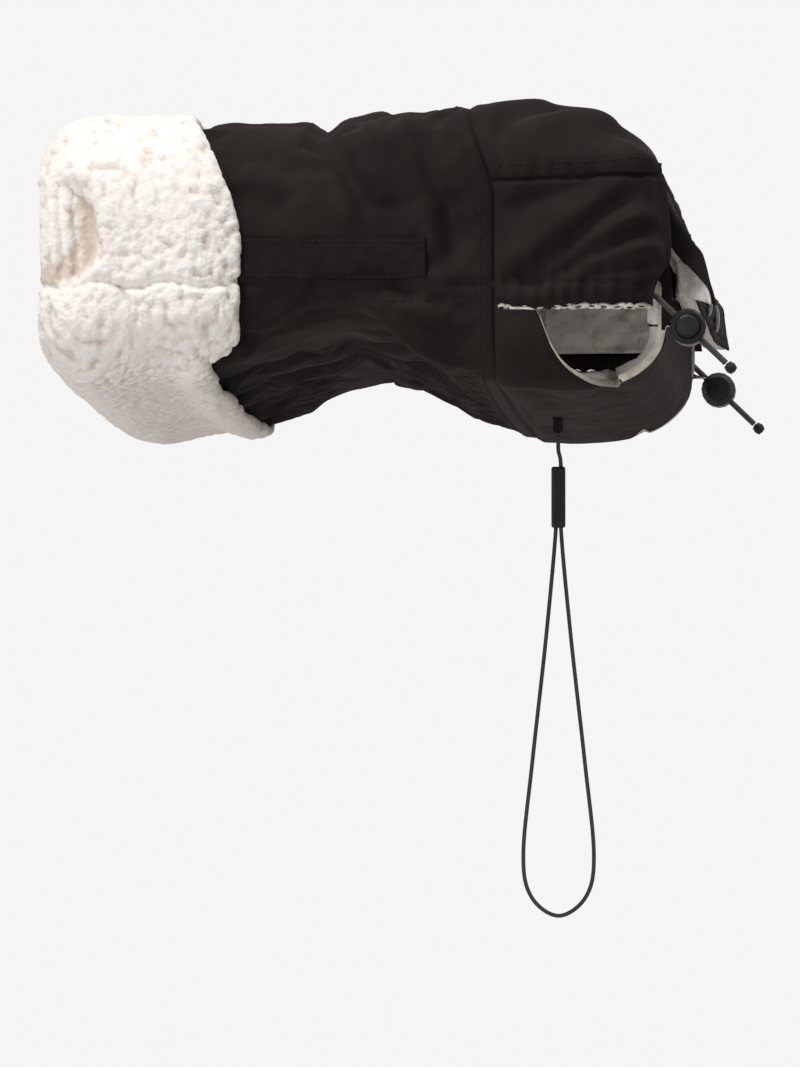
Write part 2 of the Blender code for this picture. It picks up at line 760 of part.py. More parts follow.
def press_studs(flap_layers, panel_layers, hinge):
    """Press studs that close the flap on the under panel's lip."""
    flap_inner = flap_inner_face()
    panel_inner = lip_reach() - FABRIC_THICKNESS - LAYER_GAP - PANEL_PILE
    socket_face = flap_inner - TOUCH_GAP
    disc_face = lip_reach() + TOUCH_GAP
    for number in range(SNAP_COUNT):
        y = SNAP_SPACING * (number - (SNAP_COUNT - 1) / 2)
        spot = (y, -SNAP_DROP)
        bore = cylinder_cutter(
            f"flap_hole_{number + 1}",
            SNAP_HOLE_RADIUS,
            (flap_inner - OVERRUN, *spot),
            (1, 0, 0),
            FLAP_REACH - flap_inner + 2 * OVERRUN,
        )
        for piece in flap_layers:
            cut(piece, bore)
        bore = cylinder_cutter(
            f"panel_hole_{number + 1}",
            SNAP_HOLE_RADIUS,
            (panel_inner - OVERRUN, *spot),
            (1, 0, 0),
            lip_reach() - panel_inner + 2 * OVERRUN,
        )
        for piece in panel_layers:
            cut(piece, bore)
        cap_seat = FLAP_REACH + TOUCH_GAP
        rise = SNAP_CAP_HEIGHT
        cap = [
            (0, rise),
            (SNAP_RADIUS * 0.6, rise * 0.82),
            (SNAP_RADIUS, rise * 0.25),
            (SNAP_RADIUS, 0),
            (SNAP_POST_RADIUS, 0),
            (SNAP_POST_RADIUS, flap_inner - cap_seat),
            (0, flap_inner - cap_seat),
        ]
        made = turned(f"flap_snap_cap_{number + 1}", cap, 12, (cap_seat, *spot), (1, 0, 0), BLACK_METAL)
        carried_by(made, hinge)
        thick = SNAP_SOCKET_THICKNESS
        socket = [
            (SNAP_SOCKET_RADIUS, thick),
            (SNAP_RADIUS * 0.8, thick),
            (SNAP_RADIUS, thick * 0.6),
            (SNAP_RADIUS, 0),
            (SNAP_SOCKET_RADIUS, 0),
            (SNAP_SOCKET_RADIUS, thick),
        ]
        made = turned(
            f"flap_snap_socket_{number + 1}", socket, 12, (socket_face, *spot), (-1, 0, 0), BLACK_METAL
        )
        carried_by(made, hinge)
        disc = SNAP_DISC_THICKNESS
        knob = disc + SNAP_KNOB_HEIGHT
        stud = [
            (0, knob),
            (SNAP_KNOB_RADIUS * 0.7, knob),
            (SNAP_KNOB_RADIUS, knob * 0.85),
            (SNAP_KNOB_RADIUS * 0.85, disc),
            (SNAP_RADIUS * 0.9, disc),
            (SNAP_RADIUS, disc * 0.5),
            (SNAP_RADIUS, 0),
            (0, 0),
        ]
        turned(f"panel_snap_stud_{number + 1}", stud, 12, (disc_face, *spot), (1, 0, 0), BLACK_METAL)
        back_seat = panel_inner - TOUCH_GAP
        back = [
            (0, lip_reach() - back_seat),
            (SNAP_POST_RADIUS, lip_reach() - back_seat),
            (SNAP_POST_RADIUS, 0),
            (SNAP_RADIUS, 0),
            (SNAP_RADIUS, -disc * 0.5),
            (SNAP_RADIUS * 0.8, -disc),
            (0, -disc),
        ]
        turned(f"panel_snap_back_{number + 1}", back, 12, (back_seat, *spot), (1, 0, 0), BLACK_METAL)


def cord_way():
    """The direction in which a drawcord leaves its hem."""
    return Vector((math.sqrt(1 - drawcord_fall_share**2), 0, -drawcord_fall_share))


def hem_line(side, drop, inset):
    """Points along a side hem at a depth, inset from the wing's face, up to the channel's end."""
    points = []
    for x, _, half, _ in hood_places():
        if x < CHANNEL_END - CHANNEL_RADIUS:
            points.append(Vector((x, side * (half - inset), -drop)))
    points[0].x += CHANNEL_RADIUS / 2
    points.append(Vector((CHANNEL_END, side * (MUFF_WIDTH / 2 - CHANNEL_END_INSET), -drop)))
    return points


def hems():
    """The channels along the side hems, the cream piping under them, and the drawcords in them."""
    drop = HEM_DROP + TOUCH_GAP + CHANNEL_RADIUS
    for side in (NEAR, FAR):
        name = SIDE_NAMES[side]
        line = smooth_points(hem_line(side, drop, CHANNEL_RADIUS + LAYER_GAP), 12)
        channel = tube(f"{name}_hem_channel", line, CHANNEL_RADIUS, BLACK_FABRIC)
        channel = paint(as_mesh(channel, PARTS), BLACK_FABRIC)
        turn = cord_turn(side)
        behind = (line[0] - line[1]).normalized() * OVERRUN
        core = tube(
            f"{name}_hem_bore", [line[0] + behind, *line, turn], CHANNEL_BORE, BLACK_FABRIC
        )
        cut(channel, as_mesh(core, CUTTERS))
        under = drop + CHANNEL_RADIUS + TOUCH_GAP + PIPING_RADIUS
        piping = smooth_points(hem_line(side, under, CHANNEL_RADIUS + LAYER_GAP), 12)
        tube(f"{name}_hem_piping", piping, PIPING_RADIUS, CREAM_TRIM, 1)
        way = cord_way()
        tail = lock_centre(side) + way * TAIL_LENGTH
        points = [*line, turn] + [turn.lerp(tail, (step + 1) / 7) for step in range(7)]
        tube(f"{name}_drawcord", points, DRAWCORD_RADIUS, BLACK_FABRIC)
        reach = DRAWCORD_END_RADIUS
        end = [(0, reach * 2), (reach * 0.75, reach * 1.8), (reach, reach), (reach * 0.75, reach * 0.2), (0, 0)]
        turned(f"{name}_cord_end", end, 10, tail + way * TOUCH_GAP, way, BLACK_PLASTIC)


def cord_turn(side):
    """Where a drawcord turns down, just in front of its channel."""
    drop = HEM_DROP + TOUCH_GAP + CHANNEL_RADIUS
    line = smooth_points(hem_line(side, drop, CHANNEL_RADIUS + LAYER_GAP), 12)
    return line[-1] + (line[-1] - line[-2]).normalized() * OVERRUN


def lock_centre(side):
    """Where a drawcord crosses its cord lock's axis."""
    return cord_turn(side) + cord_way() * LOCK_DISTANCE


def cord_locks():
    """A spring cord lock on each drawcord: barrel, plunger and spring on an axis along Y."""
    for side in (NEAR, FAR):
        name = SIDE_NAMES[side]
        way = cord_way()
        centre = lock_centre(side)
        axis = Vector((0, side, 0))
        floor = centre - axis * LOCK_CORD_HEIGHT
        rim = LOCK_RADIUS * 0.12
        barrel_profile = [
            (0, 0),
            (LOCK_BORE, 0),
            (LOCK_BORE, LOCK_DEPTH),
            (LOCK_RADIUS - rim, LOCK_DEPTH),
            (LOCK_RADIUS, LOCK_DEPTH - rim),
            (LOCK_RADIUS, LOCK_FLOOR),
            (LOCK_RADIUS * 0.72, -LOCK_FLOOR),
            (0, -LOCK_FLOOR * 1.3),
        ]
        barrel = turned(f"{name}_toggle_barrel", barrel_profile, 16, floor, axis, BLACK_PLASTIC)
        span = 2 * LOCK_RADIUS + 2 * OVERRUN
        hole = cylinder_cutter(
            f"{name}_lock_hole", LOCK_CORD_HOLE, centre - way * span / 2, way, span
        )
        cut(barrel, hole)
        head = PLUNGER_RADIUS * 0.2
        plunger_profile = [
            (0, PLUNGER_START + PLUNGER_LENGTH),
            (PLUNGER_RADIUS - head, PLUNGER_START + PLUNGER_LENGTH - head / 3),
            (PLUNGER_RADIUS, PLUNGER_START + PLUNGER_LENGTH - head),
            (PLUNGER_RADIUS, PLUNGER_START + head),
            (PLUNGER_RADIUS - head, PLUNGER_START),
            (0, PLUNGER_START),
        ]
        plunger = turned(f"{name}_toggle_plunger", plunger_profile, 16, floor, axis, BLACK_PLASTIC)
        slot_length = PLUNGER_SLOT_END - PLUNGER_SLOT_START
        slot = place(
            f"{name}_plunger_slot", box_mesh("plunger_slot", (span, slot_length, PLUNGER_SLOT_WIDTH)), CUTTERS
        )
        slot.location = floor + axis * (PLUNGER_SLOT_START + slot_length / 2)
        slot.rotation_euler = (0, math.asin(drawcord_fall_share), 0)
        cut(plunger, slot)
        coil = spring_points(floor, axis)
        print_spring_gap(coil)
        spring = tube(f"{name}_toggle_spring", coil, SPRING_WIRE_RADIUS, SPRING_STEEL, 1)
        slide = axis_empty(f"{name}_toggle_slide", centre)
        button = axis_empty(f"{name}_toggle_button", floor)
        carried_by(barrel, slide)
        carried_by(spring, slide)
        carried_by(button, slide)
        carried_by(plunger, button)


def spring_points(floor, axis):
    """The coil between a barrel's floor and its plunger."""
    low = SPRING_WIRE_RADIUS + TOUCH_GAP
    high = PLUNGER_START - SPRING_WIRE_RADIUS - TOUCH_GAP
    total = SPRING_TURNS * POINTS_A_TURN
    points = []
    for step in range(total + 1):
        angle = 2 * math.pi * step / POINTS_A_TURN
        around = Vector((math.cos(angle), 0, math.sin(angle))) * SPRING_RADIUS
        points.append(floor + axis * mix(low, high, step / total) + around)
    return points


def print_spring_gap(points):
    """Measures the least gap between a spring's turns, on its points, and prints it."""
    least = min(
        (a - b).length
        for i, a in enumerate(points)
        for b in points[i + POINTS_A_TURN // 2 :]
    )
    print(f"Least gap of a toggle's spring to itself: {(least - 2 * SPRING_WIRE_RADIUS) / MILLIMETRE:.2f} mm")


def ribbon():
    """The plain woven ribbon on the near side of the sleeve."""
    rows = []
    start = (CUFF_LENGTH - CUFF_LIP + CUFF_SWEEP) / (MOUTH_REACH - SEAM_SETBACK)
    end = (MOUTH_REACH - RIBBON_END) / (MOUTH_REACH - SEAM_SETBACK)
    inner = [row[0] for row in sleeve_shares if start < row[0] < end]
    for at in [start, *inner, end]:
        row = sleeve_row(at)
        out = -row["half"] - TOUCH_GAP - RIBBON_THICKNESS
        low = -RIBBON_DROP - RIBBON_HEIGHT / 2
        rows.append([(row["x"], out, low), (row["x"], out, low + RIBBON_HEIGHT)])
    layer("side_ribbon", rows, 0, RIBBON_THICKNESS, BLACK_RIBBON)


def wrist_cord():
    """The cord that hangs under the handlebar: its sewn tab, crimp and loop."""
    surface = -BOTTOM_DROP * between(panel_shares, -CORD_BACK / lip_reach())[1] - TOUCH_GAP
    axis_height = surface - TAB_DROP + TAB_THICKNESS / 2
    tab = place("cord_tab", box_mesh("cord_tab", (TAB_THICKNESS, TAB_WIDTH, TAB_DROP)))
    tab.location = (-CORD_BACK, 0, surface - TAB_DROP / 2)
    weight = tab.data.attributes.new("bevel_weight_edge", "FLOAT", "EDGE")
    for edge in tab.data.edges:
        ends = [tab.data.vertices[i].co for i in edge.vertices]
        low_edge = all(end.z < 0 for end in ends) and abs(ends[0].y - ends[1].y) > 0
        weight.data[edge.index].value = 1.0 if low_edge else 0.0
    rounding = tab.modifiers.new("Rounding", "BEVEL")
    rounding.limit_method = "WEIGHT"
    rounding.width = TAB_THICKNESS / 2 - TOUCH_GAP / 2
    rounding.segments = 4
    paint(tab, BLACK_RIBBON)

    start = axis_height - TAB_THICKNESS / 2 - TOUCH_GAP
    crimp_end = -CRIMP_TOP_DROP - CRIMP_LENGTH
    side = STRAND_OFFSET
    wide = LOOP_HALF_WIDTH
    fall = -LOOP_DROP - crimp_end
    down = [(0, start), (0, mix(start, -CRIMP_TOP_DROP, 0.5)), (side, -CRIMP_TOP_DROP), (side, crimp_end)]
    out = [
        (mix(side, wide, 0.30), crimp_end + fall * 0.28),
        (mix(side, wide, 0.72), crimp_end + fall * 0.60),
        (wide, crimp_end + fall * 0.84),
        (wide * 0.78, crimp_end + fall * 0.95),
    ]
    back = [(-x, z) for x, z in out[::-1]]
    up = [(-side, crimp_end), (-side, -CRIMP_TOP_DROP - CRIMP_LENGTH / 4)]
    route = down + out + [(0, -LOOP_DROP)] + back + up
    points = smooth_points([(x - CORD_BACK, 0, z) for x, z in route], 64)
    cord = tube("wrist_cord", points, CORD_RADIUS, BLACK_FABRIC)

    crimp = place(
        "wrist_cord_sleeve", box_mesh("wrist_cord_sleeve", (CRIMP_WIDTH, CRIMP_DEPTH, CRIMP_LENGTH))
    )
    crimp.location = (-CORD_BACK, 0, -CRIMP_TOP_DROP - CRIMP_LENGTH / 2)
    rounding = crimp.modifiers.new("Rounding", "BEVEL")
    rounding.width = CRIMP_DEPTH * 0.28
    rounding.segments = 2
    bore_width = 2 * (STRAND_OFFSET + CORD_RADIUS + TOUCH_GAP)
    bore_depth = 2 * (CORD_RADIUS + TOUCH_GAP)
    bore = place(
        "crimp_bore", box_mesh("crimp_bore", (bore_width, bore_depth, CRIMP_LENGTH + OVERRUN)), CUTTERS
    )
    bore.location = crimp.location
    cut(crimp, bore)
    paint(crimp, BLACK_PLASTIC)

    swing = axis_empty("wrist_cord_swing", (-CORD_BACK, 0, axis_height))
    carried_by(cord, swing)
    carried_by(crimp, swing)


def build():
    """Makes every piece of the muff."""
    sleeve()
    cuff()
    hood()
    wings()
    panel_layers = under_panel()
    *flap_layers, hinge = front_flap()
    press_studs(flap_layers, panel_layers, hinge)
    hems()
    cord_locks()
    ribbon()
    wrist_cord()


clear_scene()
PARTS = collection("stroller_hand_muff")
CUTTERS = collection("cutters")
build()
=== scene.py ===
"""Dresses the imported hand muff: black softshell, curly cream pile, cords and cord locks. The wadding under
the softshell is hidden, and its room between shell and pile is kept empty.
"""

import math

import bpy
import numpy as np
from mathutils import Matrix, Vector, noise


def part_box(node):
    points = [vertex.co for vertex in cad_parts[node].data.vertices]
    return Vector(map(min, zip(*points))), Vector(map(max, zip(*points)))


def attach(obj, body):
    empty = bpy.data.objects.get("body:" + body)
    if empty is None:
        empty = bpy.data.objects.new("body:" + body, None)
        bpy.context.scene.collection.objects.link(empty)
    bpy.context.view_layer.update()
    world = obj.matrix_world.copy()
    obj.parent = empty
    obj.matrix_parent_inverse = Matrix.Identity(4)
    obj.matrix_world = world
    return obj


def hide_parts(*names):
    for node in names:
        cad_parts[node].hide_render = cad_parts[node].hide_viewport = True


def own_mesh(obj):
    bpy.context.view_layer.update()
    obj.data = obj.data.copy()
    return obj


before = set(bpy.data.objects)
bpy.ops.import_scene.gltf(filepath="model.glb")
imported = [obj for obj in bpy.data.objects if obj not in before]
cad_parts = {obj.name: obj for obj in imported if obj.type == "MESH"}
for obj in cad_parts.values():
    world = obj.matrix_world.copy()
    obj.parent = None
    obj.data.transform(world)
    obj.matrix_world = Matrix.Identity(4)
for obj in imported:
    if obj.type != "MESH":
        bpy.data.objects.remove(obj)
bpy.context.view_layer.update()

# The vector noise in the curls changes from run to run unless it has a seed
noise.seed_set(1)

# Sizes shared with the CAD model
HALF_WIDTH = 0.205
MOUTH_REACH = 0.178
SEAM_SETBACK = 0.022
TOP_HEIGHT = 0.0480
BOTTOM_DROP = 0.0655
CROWN = 0.005
SIDE_SEAM_DROP = 0.0228
SHOULDER_RADIUS = 0.028
FABRIC = 0.0012
WADDING = 0.0036
PILE = 0.0055
GAP = 0.0004
SWELL_KEPT = 0.62
CUFF_LENGTH = 0.067
CUFF_LIP = 0.0145
CUFF_OVERLAP = 0.030
CUFF_EASE = 0.0012
HOLLOW_REACH = 0.0245
HOLLOW_HALF_HEIGHT = 0.0200
HOLLOW_DROP = 0.0035
HOOD_REACH = 0.0443
HOOD_FRONT_HEIGHT = 0.0225
HOOD_PILE = 0.0050
SEAM_BOW = 0.0035
SEAM_RAKE = 0.0070
SEAM_BOW_RUN = 0.030
WING_TOP = 0.0190
WING_TOP_FRONT = 0.0220
WING_FRONT = 0.0475
WING_CORNER = 0.0050
HEM_DROP = 0.0241
LIP_TOP_DROP = 0.0085
CHEEK_TOP_DROP = 0.0368
CHEEK_RADIUS = 0.024
PANEL_PILE = 0.0050
FLAP_REACH = 0.0575
FLAP_HEM_DROP = 0.0235
FLAP_TOP_INSET = 0.043
FLAP_HEM_INSET = 0.025
FLAP_FLARE = 0.003
FLAP_FLARE_RUN = 0.055
FLAP_CURL = 0.0060
FLAP_CURL_RUN = 0.040
FLAP_PILE = 0.0069
SNAP_STACK = 0.0035
LIP_REACH = FLAP_REACH - FABRIC - GAP - FLAP_PILE - SNAP_STACK
CHANNEL_RADIUS = 0.0028
HEM_CENTRE = HEM_DROP + 0.0003 + CHANNEL_RADIUS
CHANNEL_END = 0.0415
CHANNEL_END_INSET = 0.0085
DRAWCORD_RADIUS = 0.0012
TAIL_LENGTH = 0.020
LOCK_DISTANCE = 0.0175
RIBBON_HEIGHT = 0.0180
RIBBON_DROP = 0.0117
RIBBON_END = 0.0435
CORD_RADIUS = 0.0008
CORD_BACK = 0.002
TAIL_WAY = (0.721897, 0.0, -0.692)
SPRING_RADIUS = 0.0032
SPRING_WIRE = 0.0003
TAB_DROP = 0.0065
CRIMP_TOP_DROP = 0.0815
CRIMP_LENGTH = 0.0245
LOOP_DROP = 0.2600
LOOP_HALF_WIDTH = 0.0140

# Sizes of the looks alone
FULLNESS = 0.0006
SLEEVE_LIMITS = (-0.0044, 0.0060)
SEAM_DIP = 0.0016
HEM_STITCHES = 0.0016
STITCH_LIFT = 0.0001
CURL = 0.0042
CUFF_CURL = 0.0040
CURL_ROOT = 0.0008

sleeve_shares = (
    (0.000, 0.645, 0.00, 0.702, 0.480, 0.955, 1.00, 0.93),
    (0.115, 0.667, 0.02, 0.733, 0.480, 0.960, 1.00, 0.95),
    (0.212, 0.720, 0.05, 0.775, 0.480, 0.970, 1.00, 0.97),
    (0.288, 0.820, 0.07, 0.845, 0.480, 0.985, 1.00, 1.00),
    (0.372, 0.843, 0.10, 0.779, 0.470, 0.985, 1.00, 0.95),
    (0.474, 0.835, 0.12, 0.656, 0.440, 0.985, 1.00, 0.78),
    (0.545, 0.850, 0.13, 0.590, 0.430, 0.987, 0.97, 0.66),
    (0.593, 0.765, 0.14, 0.560, 0.425, 0.978, 0.95, 0.61),
    (0.640, 0.850, 0.17, 0.543, 0.428, 0.985, 0.97, 0.59),
    (0.756, 0.960, 0.25, 0.640, 0.445, 0.990, 1.00, 0.68),
    (0.885, 0.985, 0.33, 0.810, 0.500, 0.997, 1.00, 0.80),
    (1.000, 1.000, 0.375, 0.931, 0.588, 1.000, 1.00, 0.857),
)
cuff_outline_shares = (
    (0.00, 0.05),
    (0.01, 0.13),
    (0.06, 0.22),
    (0.26, 0.33),
    (0.50, 0.40),
    (0.74, 0.42),
    (0.90, 0.27),
    (1.00, -0.08),
    (0.96, -0.42),
    (0.82, -0.60),
    (0.60, -0.63),
    (0.44, -0.56),
    (0.42, -0.40),
)
hood_shares = (
    (0.000, 1.000, 1.000),
    (0.070, 1.000, 1.000),
    (0.330, 1.009, 1.000),
    (0.625, 0.878, 1.000),
    (0.825, 0.567, 0.993),
    (0.950, 0.294, 0.971),
    (1.000, 0.000, 0.941),
)
panel_shares = (
    (-0.355, 0.935, 1.000, 0.502),
    (-0.104, 0.940, 1.000, 0.506),
    (-0.033, 0.942, 1.000, 0.600),
    (0.065, 0.942, 0.995, 0.745),
    (0.200, 0.940, 0.980, 0.845),
    (0.320, 0.935, 0.955, 0.892),
    (0.430, 0.925, 0.925, 0.913),
    (0.625, 0.890, 0.800, 0.890),
    (0.854, 0.795, 0.785, 0.795),
    (0.980, 0.670, 0.778, 0.670),
    (1.000, 0.588, 0.776, 0.588),
)
flap_shares = (
    (0.00, 0.000),
    (0.12, 0.150),
    (0.38, 0.350),
    (0.72, 0.540),
    (1.00, 0.670),
    (1.00, 1.000),
)

NEAR, FAR = -1, 1
SIDES = ((NEAR, "near"), (FAR, "far"))


# Sections and the lines they run through


def mix(low, high, share):
    """The value that lies a share of the way from low to high."""
    return low + (high - low) * share


def through(table, places):
    """Smooth rows of a table at places along its first column, with no overshoot."""
    table = np.asarray(table, float)
    xs, ys = table[:, 0], table[:, 1:]
    steps = np.diff(xs)[:, None]
    slopes = np.diff(ys, axis=0) / steps
    tangents = np.zeros_like(ys)
    tangents[0], tangents[-1] = slopes[0], slopes[-1]
    before, after = slopes[:-1], slopes[1:]
    same = before * after > 0
    tangents[1:-1][same] = (2 * before * after / np.where(same, before + after, 1))[same]
    places = np.clip(np.atleast_1d(places), xs[0], xs[-1])
    at = np.clip(np.searchsorted(xs, places, side="right") - 1, 0, len(xs) - 2)
    width = steps[at]
    t = ((places - xs[at]) / width[:, 0])[:, None]
    return (
        ys[at] * (1 + 2 * t) * (1 - t) ** 2
        + tangents[at] * width * t * (1 - t) ** 2
        + ys[at + 1] * t**2 * (3 - 2 * t)
        + tangents[at + 1] * width * t**2 * (t - 1)
    )


def total(steps):
    """Sums of the steps up to each place, from 0."""
    return np.concatenate([[0], np.cumsum(steps)])


def run_of(line):
    """How far along a line each of its points lies."""
    return total(np.linalg.norm(np.diff(line, axis=0), axis=1))


def spread(line, count):
    """Evenly spread points along a line."""
    line = np.asarray(line, float)
    along = run_of(line)
    places = np.linspace(0.0, 1.0, count) * along[-1]
    return np.stack([np.interp(places, along, line[:, i]) for i in range(line.shape[1])], axis=1)


def rounded(points, count):
    """Evenly spread points on a smooth curve through the points."""
    points = np.asarray(points, float)
    ends = np.concatenate([2 * points[:1] - points[1:2], points, 2 * points[-1:] - points[-2:-1]])
    t = np.linspace(0, 1, 16, endpoint=False)[:, None]
    fine = []
    for a, b, c, d in zip(ends, ends[1:], ends[2:], ends[3:]):
        cubic = 2 * b + (c - a) * t + (2 * a - 5 * b + 4 * c - d) * t**2 + (3 * b - a - 3 * c + d) * t**3
        fine.append(0.5 * cubic)
    fine.append(ends[-2][None])
    return spread(np.concatenate(fine), count)


def arch(half, edge, shoulder, level, radius, crown, count):
    """A section over the top, from the near edge to the far one, as (y, z) points."""
    ridge = half - radius
    side = np.stack([np.full(12, half), np.linspace(edge, shoulder, 12)], axis=1)
    angle = np.linspace(0, math.pi / 2, 24)[1:]
    turn = np.stack([ridge + radius * np.cos(angle), shoulder + (level - shoulder) * np.sin(angle)], axis=1)
    across = np.linspace(ridge, -ridge, 60)[1:-1]
    top = np.stack([across, level + crown * (1 - (across / ridge) ** 2)], axis=1)
    half_line = np.concatenate([side, turn])
    return spread(np.concatenate([half_line, top, (half_line * [-1, 1])[::-1]])[::-1], count)


def sleeve_loop(place, count):
    """The sleeve's closed section at a place along it: near seam, over the top, far seam, underneath."""
    top, shoulder, bottom, low_shoulder, wide, turn, low_turn = through(sleeve_shares, place)[0]
    half, count = HALF_WIDTH * wide, count // 2 + 1
    heights = TOP_HEIGHT * shoulder, TOP_HEIGHT * top
    depths = BOTTOM_DROP * low_shoulder, BOTTOM_DROP * bottom
    upper = arch(half, -SIDE_SEAM_DROP, *heights, SHOULDER_RADIUS * turn, CROWN, count)
    lower = arch(half, SIDE_SEAM_DROP, *depths, SHOULDER_RADIUS * low_turn, CROWN / 2, count)
    return np.concatenate([upper[:-1], (lower * [1, -1])[::-1][:-1]])


def at_x(x, section):
    """A section's (y, z) points as points in space at a place along the muff."""
    return np.column_stack([np.full(len(section), x), section])


def ease(value, low, high):
    """A smooth rise from 0 to 1 as a value goes from low to high, or a fall where high is the lower one."""
    share = np.clip((value - low) / (high - low), 0, 1)
    return share * share * (3 - 2 * share)


def bell(value, width):
    """1 where a value is 0, falling smoothly to 0 on both sides."""
    return np.exp(-((value / width) ** 2))


def bowed(points):
    """Points moved along the muff, so that the seam in front of the hands bows as the real one does."""
    moved = np.array(points)
    shift = mix(SEAM_BOW, -SEAM_RAKE, ease(points[..., 2], 0.008, 0.050))
    moved[..., 0] += shift * bell(points[..., 0] + SEAM_SETBACK, SEAM_BOW_RUN)
    return moved


def hollow(x, y, z):
    """How far a place on the cuff lies in the hollow at an end of the mouth, from 0 to 1."""
    back = np.clip((x + MOUTH_REACH + CUFF_LIP) / HOLLOW_REACH, 0, None)
    height = np.abs((z + HOLLOW_DROP) / HOLLOW_HALF_HEIGHT)
    round_edge = (back**2.6 + height**2.6) ** (1 / 2.6)
    return ease(round_edge, 1.06, 0.84) * ease(np.abs(y), 0.160, 0.184)


# Grids: arrays of points, rows along the muff and columns round it


def unit(vectors):
    """Vectors at a length of one."""
    return vectors / np.maximum(np.linalg.norm(vectors, axis=-1, keepdims=True), 1e-12)


def neighbours(grid, axis):
    """The step from the point before to the point after along an axis that closes on itself."""
    return np.roll(grid, -1, axis=axis) - np.roll(grid, 1, axis=axis)


def grid_normals(grid, closed=False):
    """Outward unit normals of a grid."""
    across = neighbours(grid, 1) if closed else np.gradient(grid, axis=1)
    return unit(np.cross(np.gradient(grid, axis=0), across))


def placed(name, data):
    """An object of some data, in the scene."""
    item = bpy.data.objects.new(name, data)
    bpy.context.scene.collection.objects.link(item)
    return item


def new_mesh(name, points, faces, coordinates=None, heights=None):
    """A smooth-shaded mesh object, with texture coordinates per face corner and heights per point."""
    mesh = bpy.data.meshes.new(name)
    mesh.from_pydata(np.asarray(points, float).tolist(), [], faces)
    mesh.shade_smooth()
    if coordinates is not None:
        layer = mesh.uv_layers.new(name="UVMap")
        layer.data.foreach_set("uv", np.asarray(coordinates, np.float32).ravel())
    if heights is not None:
        attribute = mesh.attributes.new("height", "FLOAT", "POINT")
        attribute.data.foreach_set("value", np.asarray(heights, np.float32).ravel())
    return placed(name, mesh)


def quads(rows, columns, closed, flip=False, offset=0):
    """Faces of a grid, and the (row, column) of each face corner."""
    i, j = np.meshgrid(np.arange(rows - 1), np.arange(columns if closed else columns - 1), indexing="ij")
    i, j = i.ravel(), j.ravel()
    corners = [(i, j), (i + 1, j), (i + 1, j + 1), (i, j + 1)]
    if flip:
        corners = corners[::-1]
    faces = np.stack([offset + a * columns + b % columns for a, b in corners], axis=1)
    return faces, np.stack([np.stack([a, b], axis=1) for a, b in corners], axis=1)


def slab(name, outer, inner, closed=False, heights=None):
    """A closed solid between two grids of one shape, with outward faces on the outer one."""
    rows, columns = outer.shape[:2]
    size = rows * columns
    rims = []

    def rim(first, second, sheets):
        """Adds the side face between two (row, column) places, from one sheet to the other."""
        here, there = sheets
        ring = ((first, here), (second, here), (second, there), (first, there))
        rims.append([(i * columns + j % columns + size * sheet, i, j) for (i, j), sheet in ring])

    for j in range(columns if closed else columns - 1):
        rim((0, j), (0, j + 1), (0, 1))
        rim((rows - 1, j), (rows - 1, j + 1), (1, 0))
    for i in range(0 if closed else rows - 1):
        rim((i, 0), (i + 1, 0), (1, 0))
        rim((i, columns - 1), (i + 1, columns - 1), (0, 1))
    rims = np.array(rims)
    made = [quads(rows, columns, closed), quads(rows, columns, closed, True, size)]
    faces = np.concatenate([part for part, _ in made] + [rims[:, :, 0]])
    places = np.concatenate([part for _, part in made] + [rims[:, :, 1:]])
    wide = np.concatenate([outer, outer[:, :1]], axis=1) if closed else outer
    along = total(np.linalg.norm(np.diff(outer, axis=0), axis=2).mean(axis=1))
    across = total(np.linalg.norm(np.diff(wide, axis=1), axis=2).mean(axis=0))
    coordinates = np.stack([along[places[..., 0]], across[places[..., 1]]], axis=-1)
    if heights is not None:
        heights = np.concatenate([heights.ravel(), heights.ravel()])
    points = np.concatenate([outer.reshape(-1, 3), inner.reshape(-1, 3)])
    return new_mesh(name, points, faces.tolist(), coordinates, heights)


def torus(name, grid, heights):
    """A solid through a grid that closes both ways."""
    rows, columns = grid.shape[:2]
    i, j = np.meshgrid(np.arange(rows), np.arange(columns), indexing="ij")
    i, j = i.ravel(), j.ravel()
    corners = [(i, j), (i, j + 1), (i + 1, j + 1), (i + 1, j)]
    faces = np.stack([a % rows * columns + b % columns for a, b in corners], axis=1)
    along = total(np.linalg.norm(np.roll(grid, -1, 0) - grid, axis=2).mean(axis=1))
    across = total(np.linalg.norm(np.roll(grid, -1, 1) - grid, axis=2).mean(axis=0))
    places = np.stack([np.stack([along[a], across[b]], axis=1) for a, b in corners], axis=1)
    return new_mesh(name, grid.reshape(-1, 3), faces.tolist(), places, heights)


def closed_tube(name, rings, along, around=1.0):
    """A closed tube through rings, with texture coordinates along it and, to a length, around it."""
    rows, sides = rings.shape[:2]
    faces, places = quads(rows, sides, True)
    coordinates = np.stack([along[places[..., 0]], places[..., 1] / sides * around], axis=-1).reshape(-1, 2)
    caps = [list(range(sides)), list(range(rows * sides - 1, (rows - 1) * sides - 1, -1))]
    caps_at = [[along[0], 0.0]] * sides + [[along[-1], 0.0]] * sides
    return new_mesh(name, rings.reshape(-1, 3), faces.tolist() + caps, np.concatenate([coordinates, caps_at]))


def sweep(name, points, radius, sides=12):
    """A closed tube along points, kept from twisting."""
    points = np.asarray(points, float)
    tangents = unit(np.gradient(points, axis=0))
    angle = np.linspace(0, 2 * math.pi, sides, endpoint=False)[:, None]
    normal = np.cross(tangents[0], [0.0, 1.0, 0.13])
    rings = []
    for point, tangent, size in zip(points, tangents, np.broadcast_to(radius, len(points))):
        normal = unit(normal - tangent * np.dot(normal, tangent))
        rings.append(point + size * (np.cos(angle) * normal + np.sin(angle) * np.cross(tangent, normal)))
    return closed_tube(name, np.array(rings), run_of(points))


# Folds and pile


